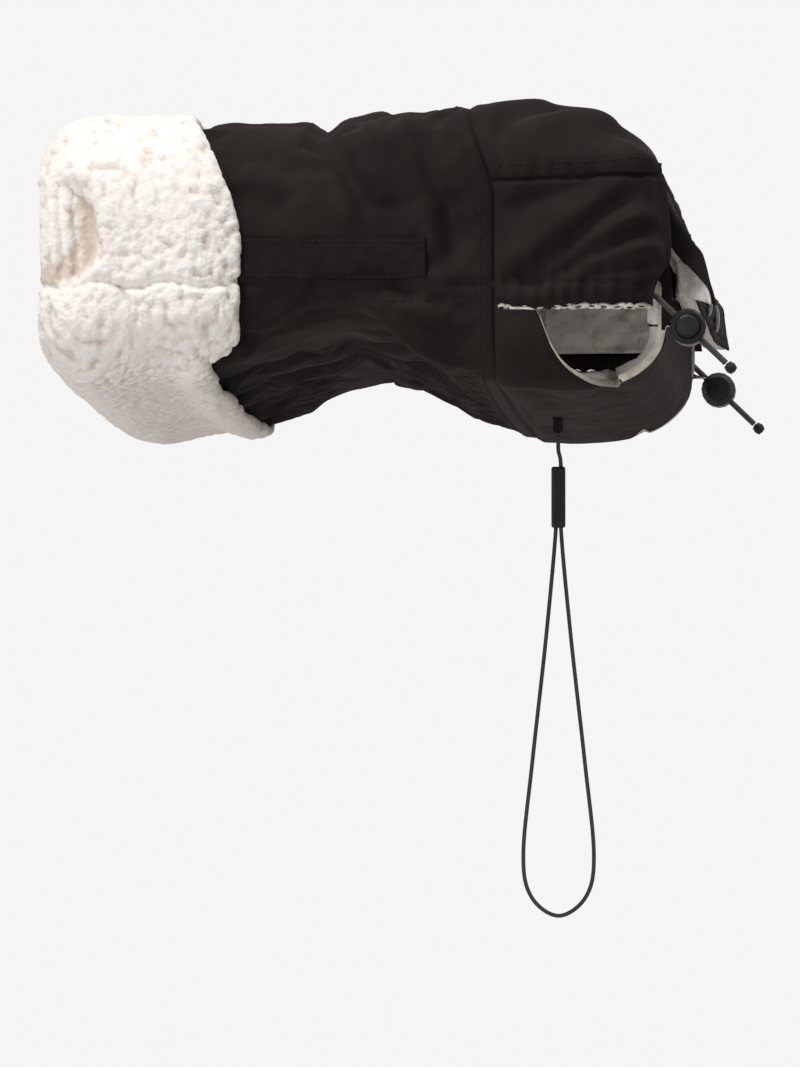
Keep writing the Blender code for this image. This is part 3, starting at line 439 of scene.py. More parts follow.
def grain(points, size, seed):
    """Smooth noise from -1 to 1 at points, with features of a size."""
    flat = np.asarray(points, float).reshape(-1, 3) / size + seed
    values = [noise.noise(Vector(p), noise_basis="PERLIN_ORIGINAL") for p in flat]
    return np.array(values).reshape(np.shape(points)[:-1])


def curls(points, size, seed):
    """Rounded curls from 0 to 1 at points, each about a size across."""
    flat = np.asarray(points, float).reshape(-1, 3)
    values = []
    for p in flat:
        v = Vector(p)
        warp = noise.noise_vector(v / (size * 1.7) + Vector((seed, 0, 0))) * 0.22
        nearest = noise.voronoi(v / size + warp + Vector((0, seed, 0)))[0][0]
        values.append(math.sqrt(max(0.0, 1 - (nearest / 0.78) ** 2)))
    return np.array(values).reshape(np.shape(points)[:-1])


def line_distance(a, b, line):
    """The distance of (a, b) places to a line, and how far along the line the nearest point is."""
    best = np.full(np.shape(a), np.inf)
    share = np.zeros(np.shape(a))
    lengths = np.linalg.norm(np.diff(line, axis=0), axis=1)
    starts = total(lengths)
    for (p0, p1), (q0, q1), long, start in zip(line, line[1:], lengths, starts):
        t = np.clip(((a - p0) * (q0 - p0) + (b - p1) * (q1 - p1)) / long**2, 0, 1)
        gap = np.hypot(a - p0 - t * (q0 - p0), b - p1 - t * (q1 - p1))
        nearer = gap < best
        best = np.where(nearer, gap, best)
        share = np.where(nearer, (start + t * long) / starts[-1], share)
    return best, share


def crease(a, b, line, width, depth):
    """A sewn or folded line: a valley along it with a soft ridge at each side, fading at its ends."""
    gap, share = line_distance(a, b, np.asarray(line) / 1000)
    fade = ease(np.minimum(share, 1 - share) * 6, 0, 1)
    return fade * depth * (0.45 * bell(gap - 2.1 * width, 1.2 * width) - bell(gap, width))


# Folds on the sides, in millimetres as (x, z), with their width and depth in metres
sleeve_side_folds = (
    (((-85, 37), (-82, 31), (-78, 24), (-72, 15), (-67, 7), (-64, 2)), 0.0038, 0.0044),
    (((-49, 42), (-47, 34), (-43, 22), (-37, 8), (-33, -6), (-34, -18)), 0.0044, 0.0034),
    (((-122, -43), (-108, -44), (-94, -40), (-80, -37), (-72, -35)), 0.0030, 0.0040),
    (((-78, -33), (-68, -40), (-58, -48), (-46, -56), (-30, -64)), 0.0034, 0.0046),
    (((-114, -52), (-100, -48), (-86, -45), (-76, -41)), 0.0030, 0.0024),
    (((-108, 32), (-98, 22), (-92, 8)), 0.0050, 0.0020),
    (((-60, -20), (-48, -27), (-34, -30)), 0.0036, 0.0028),
    (((-54, -34), (-42, -40), (-28, -46)), 0.0036, 0.0028),
    (((-120, 14), (-108, 8), (-96, 6)), 0.0040, 0.0018),
)
wing_side_folds = (
    (((-18, -22), (-4, -18), (10, -8), (24, 4), (40, 14)), 0.0036, 0.0040),
    (((-10, -24), (6, -20), (20, -11), (34, -4), (46, -1)), 0.0032, 0.0034),
    (((-20, 4), (-6, 8), (8, 12), (24, 15)), 0.0044, 0.0024),
    (((14, -22), (26, -17), (44, -13)), 0.0030, 0.0024),
)
# Folds across the top and the bottom, in millimetres as (x, y)
top_folds = (
    (((-84, 190), (-86, 150), (-82, 90), (-86, 30), (-83, -40), (-87, -110)), 0.0044, 0.0008),
    (((-50, 195), (-53, 150), (-48, 110), (-52, 60)), 0.0060, 0.0024),
    (((-52, -165), (-53, -140), (-47, -100), (-51, -50), (-47, -10)), 0.0056, 0.0022),
    (((-110, 170), (-103, 120), (-108, 60)), 0.0070, 0.0016),
    (((-108, -150), (-104, -90), (-110, -30)), 0.0070, 0.0016),
    (((-68, 60), (-64, 20), (-69, -30)), 0.0060, 0.0018),
)
bottom_folds = (
    (((-76, 150), (-79, 110), (-74, 70), (-80, 20), (-75, -50), (-79, -110), (-77, -160)), 0.0060, 0.0026),
    (((-100, 150), (-96, 120), (-102, 80)), 0.0060, 0.0018),
    (((-98, -160), (-95, -120), (-102, -70)), 0.0060, 0.0018),
    (((-50, 150), (-55, 110), (-48, 60)), 0.0060, 0.0018),
    (((-52, -150), (-47, -100), (-54, -40)), 0.0060, 0.0018),
)
panel_folds = (
    (((-12, 170), (-2, 120), (-8, 60)), 0.0060, 0.0016),
    (((-10, -180), (2, -120), (-6, -50)), 0.0060, 0.0018),
    (((22, 150), (16, 90), (24, 20)), 0.0060, 0.0016),
    (((20, -150), (26, -90), (18, -30)), 0.0060, 0.0016),
)
hood_top_folds = (
    (((-20, -203), (-10, -194), (2, -187), (8, -184)), 0.0044, 0.0030),
    (((-14, 196), (-4, 184), (4, 176)), 0.0060, 0.0026),
    (((6, -150), (12, -110), (7, -60)), 0.0080, 0.0016),
    (((10, 40), (14, 90), (8, 140)), 0.0080, 0.0016),
    (((20, -203), (26, -194), (34, -190)), 0.0050, 0.0020),
    (((24, 190), (28, 150), (25, 110)), 0.0060, 0.0018),
)


def folds(points, sides=(), tops=(), bottoms=()):
    """How far cloth stands out or in at points, from its folds and its own unevenness."""
    x, y, z = points[..., 0], points[..., 1], points[..., 2]
    moved = np.zeros(x.shape)
    for side, shift in ((NEAR, 0.0), (FAR, 0.004)):
        beside = np.clip((side * y - 0.162) / 0.024, 0, 1)
        for line, width, depth in sides:
            moved += beside * crease(x + shift * np.sin(z * 60), z - shift, line, width, depth)
    above = np.clip((z - 0.004) / 0.022, 0, 1)
    for line, width, depth in tops:
        moved += above * crease(x, y, line, width, depth)
    below = np.clip((-z - 0.026) / 0.012, 0, 1)
    for line, width, depth in bottoms:
        moved += below * crease(x, y, line, width, depth)
    stretched = points * [1.0, 0.42, 1.0]
    moved += 0.0011 * grain(stretched, 0.021, 3.1)
    moved += 0.00045 * grain(stretched, 0.009, 7.7)
    return moved


def pile_skin(points, height, size, seed):
    """How far pile stands out at points, and the height of its curls from 0 to 1, which the pile material turns
    into painted shade.
    """
    fine = curls(points, size, seed)
    coarse = grain(points, size * 4.2, seed + 5)
    lumps = 0.72 * fine + 0.28 * curls(points, size * 0.5, seed + 9)
    return height * (lumps + 0.18 * coarse), lumps


# Cloth simulation


def settled(name, grid, loose, growth=0.05, pressure=1.5, cap=0.0035):
    """How far each point of a closed grid of cloth moves when the cloth, cut larger than its place, settles.

    Loose is 0 where the cloth is sewn down and 1 where it is free. The same grid always settles the same way.
    """
    faces, _ = quads(*grid.shape[:2], True)
    piece = new_mesh(name, grid.reshape(-1, 3), faces.tolist())
    sewn = piece.vertex_groups.new(name="sewn")
    for index, value in enumerate(loose.ravel()):
        if value < 1:
            sewn.add([index], float(1 - value), "REPLACE")
    cloth = piece.modifiers.new("cloth", "CLOTH")
    settings = {
        "quality": 4,
        "mass": 0.25,
        "tension_stiffness": 18,
        "compression_stiffness": 12,
        "shear_stiffness": 6,
        "bending_stiffness": 0.35,
        "shrink_min": -growth,
        "use_pressure": True,
        "uniform_pressure_force": pressure,
        "vertex_group_mass": "sewn",
    }
    for key, value in settings.items():
        setattr(cloth.settings, key, value)
    cloth.settings.effector_weights.gravity = 0
    cloth.point_cache.frame_start, cloth.point_cache.frame_end = 1, 20
    scene = bpy.context.scene
    for step in range(1, 19):
        scene.frame_set(step)
    mesh = piece.evaluated_get(bpy.context.evaluated_depsgraph_get()).to_mesh()
    places = np.empty(len(mesh.vertices) * 3)
    mesh.vertices.foreach_get("co", places)
    moved = places.reshape(grid.shape) - grid
    scene.frame_set(1)
    data = piece.data
    bpy.data.objects.remove(piece)
    bpy.data.meshes.remove(data)
    far = np.linalg.norm(moved, axis=2, keepdims=True)
    return moved * np.minimum(1, cap / np.maximum(far, 1e-9))


def finer(field, rows, columns):
    """A field on a closed grid, read smoothly at more rows and columns."""
    high, wide = field.shape[:2]
    i = np.linspace(0, high - 1, rows)
    low = np.minimum(i.astype(int), high - 2)
    share = (i - low)[:, None, None]
    tall = field[low] * (1 - share) + field[low + 1] * share
    j = np.arange(columns) * wide / columns
    left = j.astype(int) % wide
    share = (j - j.astype(int))[None, :, None]
    return tall[:, left] * (1 - share) + tall[:, (left + 1) % wide] * share


# Materials


def set_sockets(made, values):
    """Sets constants on a node's inputs, named with _ for a space."""
    for name, value in values.items():
        made.inputs[name.replace("_", " ")].default_value = value
    return made


def material(name, colour, roughness, **sockets):
    """A material, its tree and its shader."""
    made = bpy.data.materials.new(name)
    made.use_nodes = True
    shader = made.node_tree.nodes["Principled BSDF"]
    set_sockets(shader, {"Base_Color": (*colour, 1), "Roughness": roughness, **sockets})
    return made, made.node_tree, shader


def node(tree, kind, settings=None, **values):
    """A node with its settings and input values."""
    made = tree.nodes.new(kind)
    for key, value in (settings or {}).items():
        setattr(made, key, value)
    return set_sockets(made, values)


def coordinates(tree, kind="Object"):
    """The texture coordinates of a kind."""
    return tree.nodes.new("ShaderNodeTexCoord").outputs[kind]


def noise_of(tree, where, scale, detail, roughness=0.55):
    """A noise texture's value."""
    made = node(tree, "ShaderNodeTexNoise", Scale=scale, Detail=detail, Roughness=roughness)
    tree.links.new(where, made.inputs["Vector"])
    return made.outputs["Fac"]


def combine(tree, operation, first, second):
    """The sum, product or other result of two values."""
    made = node(tree, "ShaderNodeMath", {"operation": operation})
    for socket, value in zip(made.inputs, (first, second)):
        if isinstance(value, (int, float)):
            socket.default_value = value
        else:
            tree.links.new(value, socket)
    return made.outputs[0]


def weave_of(tree, across, along):
    """Waves in both directions of a cloth, multiplied."""
    waves = []
    for direction, scale in (("X", across), ("Y", along)):
        made = node(tree, "ShaderNodeTexWave", {"bands_direction": direction}, Scale=scale, Distortion=0.0)
        tree.links.new(coordinates(tree, "UV"), made.inputs["Vector"])
        waves.append(made.outputs["Fac"])
    return combine(tree, "MULTIPLY", *waves)


def bumps(tree, shader, heights):
    """Lays bumps over each other: each is (value, strength, distance in metres)."""
    normal = None
    for value, strength, distance in heights:
        made = node(tree, "ShaderNodeBump", Strength=strength, Distance=distance)
        tree.links.new(value, made.inputs["Height"])
        if normal is not None:
            tree.links.new(normal, made.inputs["Normal"])
        normal = made.outputs["Normal"]
    tree.links.new(normal, shader.inputs["Normal"])


def shaded(tree, shader, value, stops):
    """Colours the shader along a value: each stop is (place, colour)."""
    made = node(tree, "ShaderNodeValToRGB")
    ramp = made.color_ramp
    while len(ramp.elements) < len(stops):
        ramp.elements.new(0.5)
    for element, (place, colour) in zip(ramp.elements, stops):
        element.position = place
        element.color = (*colour, 1)
    tree.links.new(value, made.inputs["Fac"])
    tree.links.new(made.outputs["Color"], shader.inputs["Base Color"])


def mapped(tree, value, **limits):
    """A value mapped from one range to another."""
    made = node(tree, "ShaderNodeMapRange", **limits)
    tree.links.new(value, made.inputs["Value"])
    return made.outputs["Result"]


def roughened(tree, shader, cloud, low, high):
    """Lets the shader's roughness follow a cloud."""
    rough = mapped(tree, cloud, From_Min=0.2, From_Max=0.8, To_Min=low, To_Max=high)
    tree.links.new(rough, shader.inputs["Roughness"])


def tint(colour, factor, lift=0.0):
    """A colour made darker or lighter."""
    return tuple(min(1.0, c * factor + lift) for c in colour)


def softshell():
    """Matt black softshell: a fine tight weave, warm where light falls on it."""
    sheen = {"Sheen_Weight": 0.03, "Sheen_Roughness": 0.35, "Sheen_Tint": (1.0, 0.86, 0.77, 1)}
    made, tree, shader = material("softshell", (0.020, 0.0165, 0.0152), 0.86, Specular_IOR_Level=0.06, **sheen)
    cloud = noise_of(tree, coordinates(tree), 38, 4)
    shaded(tree, shader, cloud, [(0.30, SOFTSHELL_DARK), (0.72, SOFTSHELL_LIGHT)])
    roughened(tree, shader, cloud, 0.82, 0.94)
    soft = noise_of(tree, coordinates(tree), 420, 2)
    bumps(tree, shader, [(soft, 0.25, 0.0006), (weave_of(tree, 520, 520), 0.35, 0.00016)])
    return made


def pile():
    """Curly cream pile with painted shade: warm and darker in its hollows, pale on its curls."""
    sheen = {"Sheen_Weight": 0.35, "Sheen_Roughness": 0.7, "Sheen_Tint": (1.0, 0.97, 0.92, 1)}
    made, tree, shader = material("cream_pile", (0.84, 0.80, 0.73), 0.95, Specular_IOR_Level=0.08, **sheen)
    height = node(tree, "ShaderNodeAttribute", {"attribute_name": "height"}).outputs["Fac"]
    where = coordinates(tree)
    cloud = combine(tree, "MULTIPLY", noise_of(tree, where, 70, 4), 0.14)
    blend = combine(tree, "ADD", combine(tree, "MULTIPLY", height, 0.85), cloud)
    # Painted shade: the colour darkens and warms as the curls fall away into the hollows between them
    shaded(tree, shader, blend, [(0.10, PILE_HOLLOW_SHADE), (0.42, PILE_SIDES), (0.80, PILE_CURLS)])
    curl = node(tree, "ShaderNodeTexVoronoi", {"feature": "SMOOTH_F1"}, Scale=620, Smoothness=0.5)
    tree.links.new(where, curl.inputs["Vector"])
    rise = combine(tree, "SUBTRACT", 1.0, curl.outputs["Distance"])
    bumps(tree, shader, [(rise, 0.5, 0.0006), (noise_of(tree, where, 1500, 4, 0.7), 0.3, 0.0003)])
    return made


def tape(name, colour, ribs):
    """A narrow woven tape with ribs across it."""
    made, tree, shader = material(name, colour, 0.80, Specular_IOR_Level=0.06)
    cloud = noise_of(tree, coordinates(tree), 260, 3)
    shaded(tree, shader, cloud, [(0.3, tint(colour, 0.78)), (0.7, tint(colour, 1.18))])
    bumps(tree, shader, [(weave_of(tree, ribs, ribs * 0.6), 0.6, 0.0002)])
    return made


def braid(name, colour):
    """A braided cord: two crossing spirals of strands, with painted shade in the grooves between them and
    painted highlights on their crowns.
    """
    made, tree, shader = material(name, colour, 0.6)
    where = node(tree, "ShaderNodeSeparateXYZ")
    tree.links.new(coordinates(tree, "UV"), where.inputs["Vector"])
    along = combine(tree, "MULTIPLY", where.outputs["X"], 4 * math.pi / 0.0034)
    around = combine(tree, "MULTIPLY", where.outputs["Y"], 8 * math.pi)
    one, two = (combine(tree, "SINE", combine(tree, turn, along, around), 0.0) for turn in ("ADD", "SUBTRACT"))
    strands = mapped(tree, combine(tree, "MULTIPLY", one, two), From_Min=-1.0, From_Max=1.0)
    # Painted shade and highlight: the colour follows the strands' relief, dark in the grooves and light on the
    # crowns
    shaded(tree, shader, strands, [(0.1, tint(colour, 0.6)), (0.8, tint(colour, 1.5))])
    bumps(tree, shader, [(strands, 0.7, 0.00025)])
    return made


def moulded(name, colour, roughness):
    """Moulded plastic with a fine spark-eroded grain."""
    made, tree, shader = material(name, colour, roughness, Specular_IOR_Level=0.22)
    where = coordinates(tree)
    roughened(tree, shader, noise_of(tree, where, 160, 3), roughness - 0.06, roughness + 0.08)
    bumps(tree, shader, [(noise_of(tree, where, 2600, 2), 0.35, 0.00012)])
    return made


def coated_metal(name, colour, roughness, metallic):
    """Coated or drawn metal with faint wear."""
    made, tree, shader = material(name, colour, roughness, Metallic=metallic)
    where = coordinates(tree)
    cloud = noise_of(tree, where, 420, 4)
    shaded(tree, shader, cloud, [(0.45, colour), (0.8, tint(colour, 1.6, 0.01))])
    roughened(tree, shader, cloud, roughness - 0.08, roughness + 0.12)
    bumps(tree, shader, [(noise_of(tree, where, 1800, 2), 0.2, 0.00005)])
    return made


SOFTSHELL_DARK, SOFTSHELL_LIGHT = (0.0125, 0.0104, 0.0098), (0.0240, 0.0197, 0.0182)
# Pile colours along the curl height: painted shade that deepens from the curls into the hollows
PILE_HOLLOW_SHADE, PILE_SIDES, PILE_CURLS = (0.62, 0.53, 0.46), (0.80, 0.755, 0.71), (0.88, 0.855, 0.825)
SOFTSHELL = softshell()
CREAM_PILE = pile()
CREAM_TAPE = tape("cream_tape", (0.74, 0.70, 0.62), 700)
BLACK_TAPE = tape("black_tape", (0.0135, 0.0116, 0.0108), 900)
BLACK_THREAD = tape("black_thread", (0.026, 0.022, 0.0205), 1600)
BLACK_CORD = braid("black_cord", (0.016, 0.0145, 0.0145))
BLACK_PLASTIC = moulded("black_plastic", (0.0075, 0.0072, 0.0072), 0.42)
BLACK_METAL = coated_metal("black_metal", (0.040, 0.040, 0.043), 0.34, 0.85)
STEEL = coated_metal("spring_steel", (0.60, 0.60, 0.62), 0.28, 1.0)


# Pieces: each is dressed in a material, rides on a body and hides the CAD nodes it stands for


def paint(item, look):
    """Gives an object one material."""
    item.data.materials.clear()
    item.data.materials.append(look)


def dress(piece, look, body, slot, *nodes):
    """Paints a piece, lets it ride on a body and hides the CAD nodes it stands for."""
    paint(piece, look)
    if nodes:
        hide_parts(*nodes)
    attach(piece, body)
    return piece


def cloth_layer(name, outer, ways, thickness, *nodes, body="muff", closed=False, padded=True):
    """A layer of softshell with its outer face on a grid."""
    piece = slab(name, outer, outer - ways * thickness, closed)
    dress(piece, SOFTSHELL, body, "black_fabric", *nodes)


def pile_layer(
    name, back, ways, depth, skin, *nodes, body="muff", closed=False, full=1.0, skin_at=None, padded=True
):
    """A layer of pile with its back on a grid. Skin is the rise, the size and the seed of its curls."""
    stand, heights = pile_skin(back if skin_at is None else skin_at, *skin)
    face = back - ways * ((depth + stand) * full)[..., None]
    piece = slab(name, back, face, closed, heights)
    dress(piece, CREAM_PILE, body, "cream_pile", *nodes)


def stitches(name, line, lift, body, slot, pitch=0.0034, length=0.0024, radius=0.00024):
    """A row of stitches along a line, each a small rounded bar that stands up the way its lift points."""
    count = max(2, int(run_of(line)[-1] / pitch))
    starts = spread(line, count + 1)[:-1]
    fine = spread(line, count * 8 + 1)
    points, faces = [], []
    for k, start in enumerate(starts):
        end = fine[min(len(fine) - 1, k * 8 + max(1, int(8 * length / pitch)))]
        way = unit(end - start)
        side = unit(np.cross(way, lift[min(len(lift) - 1, int(k / count * len(lift)))]))
        up = np.cross(side, way)
        base = len(points)
        for share, size, rise in ((0, 0.35, -0.5), (0.2, 1, 0.3), (0.8, 1, 0.3), (1, 0.35, -0.5)):
            middle = start + (end - start) * share + up * radius * rise
            for angle in np.arange(6) * math.pi / 3:
                points.append(middle + radius * size * (math.cos(angle) * side + math.sin(angle) * up))
        for low in (base, base + 6, base + 12):
            for a in range(6):
                b = (a + 1) % 6
                faces.append((low + a, low + b, low + 6 + b, low + 6 + a))
        faces.append(tuple(base + a for a in range(5, -1, -1)))
        faces.append(tuple(base + 18 + a for a in range(6)))
    dress(new_mesh(name, points, faces), BLACK_THREAD, body, slot)


def stitch_row(name, grid, ways, where, body="muff", slot="black_fabric", *sizes):
    """A row of stitches on the part of a grid that where picks out."""
    stitches(name, grid[where] + ways[where] * STITCH_LIFT, ways[where], body, slot, *sizes)


# The sleeve


def sleeve_grid(count_along, count_round, start=0.0):
    """The sleeve's surface from the mouth to the seam."""
    places = np.linspace(start, 1.0, count_along)
    xs = mix(-MOUTH_REACH, -SEAM_SETBACK, places)
    return bowed(np.array([at_x(x, sleeve_loop(place, count_round)) for x, place in zip(xs, places)]))


def seam_tape():
    """The seam allowance behind the seam in front of the hands, and the pile that shows behind it."""
    loop = sleeve_loop(1.0, 400)
    xs = -SEAM_SETBACK + np.linspace(-0.004, 0.005, 7)
    grid = np.array([at_x(x, loop) for x in xs])
    normals = grid_normals(grid, True)
    grid = bowed(grid - normals * 0.0019)
    cloth_layer("seam_tape", grid, normals, 0.0010, closed=True, padded=False)
    back = grid - normals * 0.0013
    pile_layer("seam_pile", back, normals, 0.0022, (0.0012, CURL, 15.0), closed=True, padded=False)


def sleeve():
    """The sleeve's outer cloth with its folds, and the pile inside it."""
    grid = sleeve_grid(92, 560)
    normals = grid_normals(grid, True)
    flat = np.linspace(-MOUTH_REACH, -SEAM_SETBACK, len(grid))[:, None]
    hidden = np.clip((grid[..., 0] + 0.150) / 0.016, 0, 1)
    seam = np.clip((-SEAM_SETBACK - flat) / 0.010, 0.12, 1)
    moved = (folds(grid, sleeve_side_folds, top_folds, bottom_folds) + FULLNESS) * hidden * seam
    beside = np.clip((np.abs(grid[..., 1]) - 0.180) / 0.01, 0, 1)
    moved -= 0.0011 * beside * bell(grid[..., 2] + SIDE_SEAM_DROP, 0.0013) * hidden
    moved -= SEAM_DIP * bell(flat + SEAM_SETBACK, 0.0022)
    coarse = (grid + normals * moved[..., None])[:, ::2]
    loose = hidden * np.clip((-SEAM_SETBACK - flat) / 0.012, 0, 1)
    settling = finer(settled("sleeve_cloth", coarse, loose[:, ::2]), *grid.shape[:2])
    swollen = np.sum(settling * normals, axis=2)
    moved = np.clip(moved + (swollen - SWELL_KEPT * swollen.max()) * loose, *SLEEVE_LIMITS)
    outer = grid + normals * moved[..., None]
    nodes = [f"sleeve_{side}_{layer}" for layer in ("outer", "wadding") for side in ("top", "bottom")]
    cloth_layer("sleeve_shell", outer, normals, FABRIC, *nodes, closed=True)
    # An upper row on the near side would lie under the ribbon
    for name, column in (("near", -4), ("far", 276), ("far", 284)):
        word = "upper" if column == 284 else "lower"
        stitch_row(f"{name}_side_stitches_{word}", outer, normals, np.s_[34:-2, column])
    ring = outer[-4] + normals[-4] * STITCH_LIFT
    stitches("seam_stitches", np.concatenate([ring, ring[:1]]), normals[-4], "muff", "black_fabric")

    start = (CUFF_LENGTH * 0.56 - CUFF_LIP + CUFF_EASE) / (MOUTH_REACH - SEAM_SETBACK)
    grid = sleeve_grid(64, 420, start)
    normals = grid_normals(grid, True)
    depth = FABRIC + WADDING + 2 * GAP
    pile_layer(
        "sleeve_pile",
        grid - normals * depth,
        normals,
        PILE - 0.0010,
        (0.0014, CUFF_CURL, 2.0),
        "sleeve_top_lining",
        "sleeve_bottom_lining",
        closed=True,
        skin_at=grid - normals * (depth + PILE),
    )
    return outer


# The cuff


def cuff():
    """The turned-back pile cuff, one roll all the way round the mouth."""
    count, visible, tucked = 1080, 172, 14
    places = np.linspace(0, 0.44, 64)
    xs = mix(-MOUTH_REACH, -SEAM_SETBACK, places)
    loops = np.array([sleeve_loop(place, count) for place in places])
    around = neighbours(loops, 1)
    ways = unit(np.stack([-around[..., 1], around[..., 0]], axis=-1))
    lip = -MOUTH_REACH - CUFF_LIP
    inside = -MOUTH_REACH - CUFF_EASE
    below = -FABRIC - WADDING - GAP - CUFF_EASE
    across, rise = loops[0].T
    upper = 0.0175 * np.clip((rise + 0.010) / 0.041, 0, 1) ** 1.6
    corner = ease(np.abs(across), 0.177, 0.191) * (across < 0) + ease(across, 0.187, 0.1955)
    back = lip + CUFF_LENGTH + 0.0098 - np.where(rise > -0.010, upper, 0.0120 * (1 - corner))
    back -= 0.0060 * np.clip(1 - (across / 0.180) ** 2, 0, 1) * (rise > 0)
    back += 0.0016 * grain(np.column_stack([loops[0], np.zeros(count)]), 0.030, 1.3)
    columns = []
    for j in range(count):
        outline = []
        for along, height in cuff_outline_shares:
            edge = mix(back[j], lip + CUFF_LENGTH, np.clip((along - 0.06) / 0.34, 0, 1))
            outline.append((mix(edge, lip, along), height * CUFF_OVERLAP))
        shown = rounded(outline, visible)
        tip = int(np.argmin(shown[:, 0])) + 2
        under = [shown[-1], (shown[-1, 0], below), (inside, below), (inside, GAP), shown[0]]
        x, height = np.concatenate([shown, spread(under, tucked + 2)[1:-1]]).T
        at = np.clip((x - xs[0]) / (xs[1] - xs[0]), 0, len(xs) - 1.001)
        low = at.astype(int)
        share = (at - low)[:, None]
        base = loops[low, j] * (1 - share) + loops[low + 1, j] * share
        way = ways[low, j] * (1 - share) + ways[low + 1, j] * share
        thinned = 0.55 * ease(-base[:, 1], 0.032, 0.046) * ease(x, -0.172, -0.136)
        height = np.where(height > 0, height * (1 - thinned), height)
        sunk = hollow(x, base[:, 0], base[:, 1]) * (np.arange(len(x)) < tip)
        gathers = 0.0007 * np.sin(x * 2 * math.pi / 0.0054 + 0.9 * np.sin(base[:, 1] * 150))
        floor = mix(0.0016, 0.0050, ease(x, -0.172, -0.186)) + gathers * ease(x, -0.174, -0.180)
        pressed = np.minimum(height, floor + 0.10 * (height - floor))
        columns.append(np.column_stack([x, base + way * mix(height, pressed, sunk)[:, None]]))
    # Columns run round the muff, rows along the roll's outline
    grid = np.transpose(columns, (1, 0, 2))
    normals = unit(np.cross(neighbours(grid, 1), neighbours(grid, 0)))
    x, y, z = np.moveaxis(grid, 2, 0)
    lifted = (np.arange(len(grid)) < visible)[:, None]
    stand, heights = np.zeros(x.shape), np.zeros(x.shape)
    stand[:visible], heights[:visible] = pile_skin(grid[:visible], 0.0021, CUFF_CURL, 0.0)
    stand *= np.clip(np.arange(len(grid)) / 4, 0, 1)[:, None]
    beside = np.clip((np.abs(y) - 0.185) / 0.006, 0, 1) * lifted
    stand -= 0.0024 * beside * bell(z + SIDE_SEAM_DROP + 0.0012 * np.sin(x * 230), 0.0016)
    swell = 0.0016 * grain(grid, 0.045, 4.4) * lifted
    sunk = hollow(x, y, z) * lifted
    # Painted shade: the colour heights drop in the hollow, most by its deep wall and its lower part, so the
    # pile there turns darker and tan
    heights -= 0.9 * sunk * np.maximum(ease(x, -0.186, -0.172), ease(z, -0.008, -0.020))
    stand *= 1 - 0.6 * sunk
    piece = torus("cuff_roll", grid + normals * (stand + swell)[..., None], heights)
    dress(piece, CREAM_PILE, "muff", "cream_pile", "cuff_top", "cuff_bottom")


# The hood and its wings


def hood_rows(places):
    """Forward place, height, half width and wing top of the hood at places along it."""
    row = through(hood_shares, places)
    level = mix(HOOD_FRONT_HEIGHT, TOP_HEIGHT, row[:, 0])
    x = mix(-SEAM_SETBACK + GAP, HOOD_REACH, np.asarray(places))
    wing = mix(WING_TOP, WING_TOP_FRONT, (x + SEAM_SETBACK) / (HOOD_REACH + SEAM_SETBACK))
    return x, level, HALF_WIDTH * row[:, 1], np.minimum(wing, level - 0.001)


def held(moved, flat):
    """Moves that fade towards the seam in front of the hands, with the dip along its stitching."""
    faded = moved * np.clip((flat + SEAM_SETBACK) / 0.008, 0.1, 1)
    return faded - SEAM_DIP * bell(flat + SEAM_SETBACK, 0.0020)


def hood():
    """The hood's cloth over the bar with its sides, and its pile."""
    rows = []
    for x, top, half, wing in zip(*hood_rows(np.linspace(0, 1, 52))):
        crown = CROWN * (1 - max(0, x) / HOOD_REACH)
        rows.append(at_x(x, arch(half, wing - 0.0016, wing, top, SHOULDER_RADIUS, crown, 380)))
    flat = np.array(rows)[..., 0]
    grid = bowed(np.array(rows))
    normals = grid_normals(grid)
    moved = held(folds(grid, tops=hood_top_folds) + FULLNESS, flat)
    edge = np.minimum(np.arange(380), np.arange(380)[::-1])[None] * 0.0011
    moved += 0.0010 * bell(edge - 0.0065, 0.004) - 0.0007 * bell(edge, 0.0014)
    puckers = np.sin(grid[..., 0] * 2 * math.pi / 0.0085 + 2 * np.sin(grid[..., 0] * 90))
    moved += 0.00045 * puckers * bell(edge, 0.008)
    # The front edge lies a little lower, so that the flap clears it
    raised = np.maximum(ease(np.abs(grid[..., 1]), 0.163, 0.173), ease(HOOD_REACH - flat, 0.0, 0.0035))
    outer = grid + normals * mix(-0.0008, moved, raised)[..., None]
    cloth_layer("hood_shell", outer, normals, FABRIC, "hood_top_outer")
    for name, column in (("near_corner_stitches", 4), ("far_corner_stitches", -5)):
        stitch_row(name, outer, normals, np.s_[3:-2, column])
    inside, ways = outer[3:-4, 9:-9], normals[3:-4, 9:-9]
    back = inside - ways * (FABRIC + GAP)
    pile_layer("hood_pile", back, ways, HOOD_PILE - CURL_ROOT, (0.0013, CURL, 6.0), "hood_top_lining")


def wing_grid(side, rows=84, columns=76):
    """A wing's surface, turned round the cord in its hem, with columns from the hem to the top."""
    x, _, half, wing = hood_rows(np.linspace(0, 1, 60))
    channel = hem_line(side, HEM_CENTRE, CHANNEL_RADIUS + GAP, 150)
    radius = CHANNEL_RADIUS + 0.0008
    turn = np.radians(np.linspace(-110, 0, 16))[:, None]
    made = []
    for share in np.linspace(0, 1, rows):
        place = mix(x[0], WING_FRONT, share)
        plane = np.interp(place, x, half) - 1.2 * max(0.0, place - x[-1])
        centre = np.interp(place, channel[:, 0], np.abs(channel[:, 1]))
        arc = np.column_stack([centre + radius * np.cos(turn), -HEM_CENTRE + radius * np.sin(turn)])
        height = np.linspace(-HEM_CENTRE, np.interp(place, x, wing) + 0.0030, 60)[1:]
        out = mix(centre + radius, plane, ease(height, -HEM_CENTRE, -0.013))
        profile = spread(np.concatenate([arc, np.column_stack([out, height])]), columns)
        cut = WING_CORNER * share**5 * ease(profile[:, 1], -0.010, -0.030)
        made.append(np.column_stack([place - cut, side * profile[:, 0], profile[:, 1]])[::-side])
    return np.array(made)


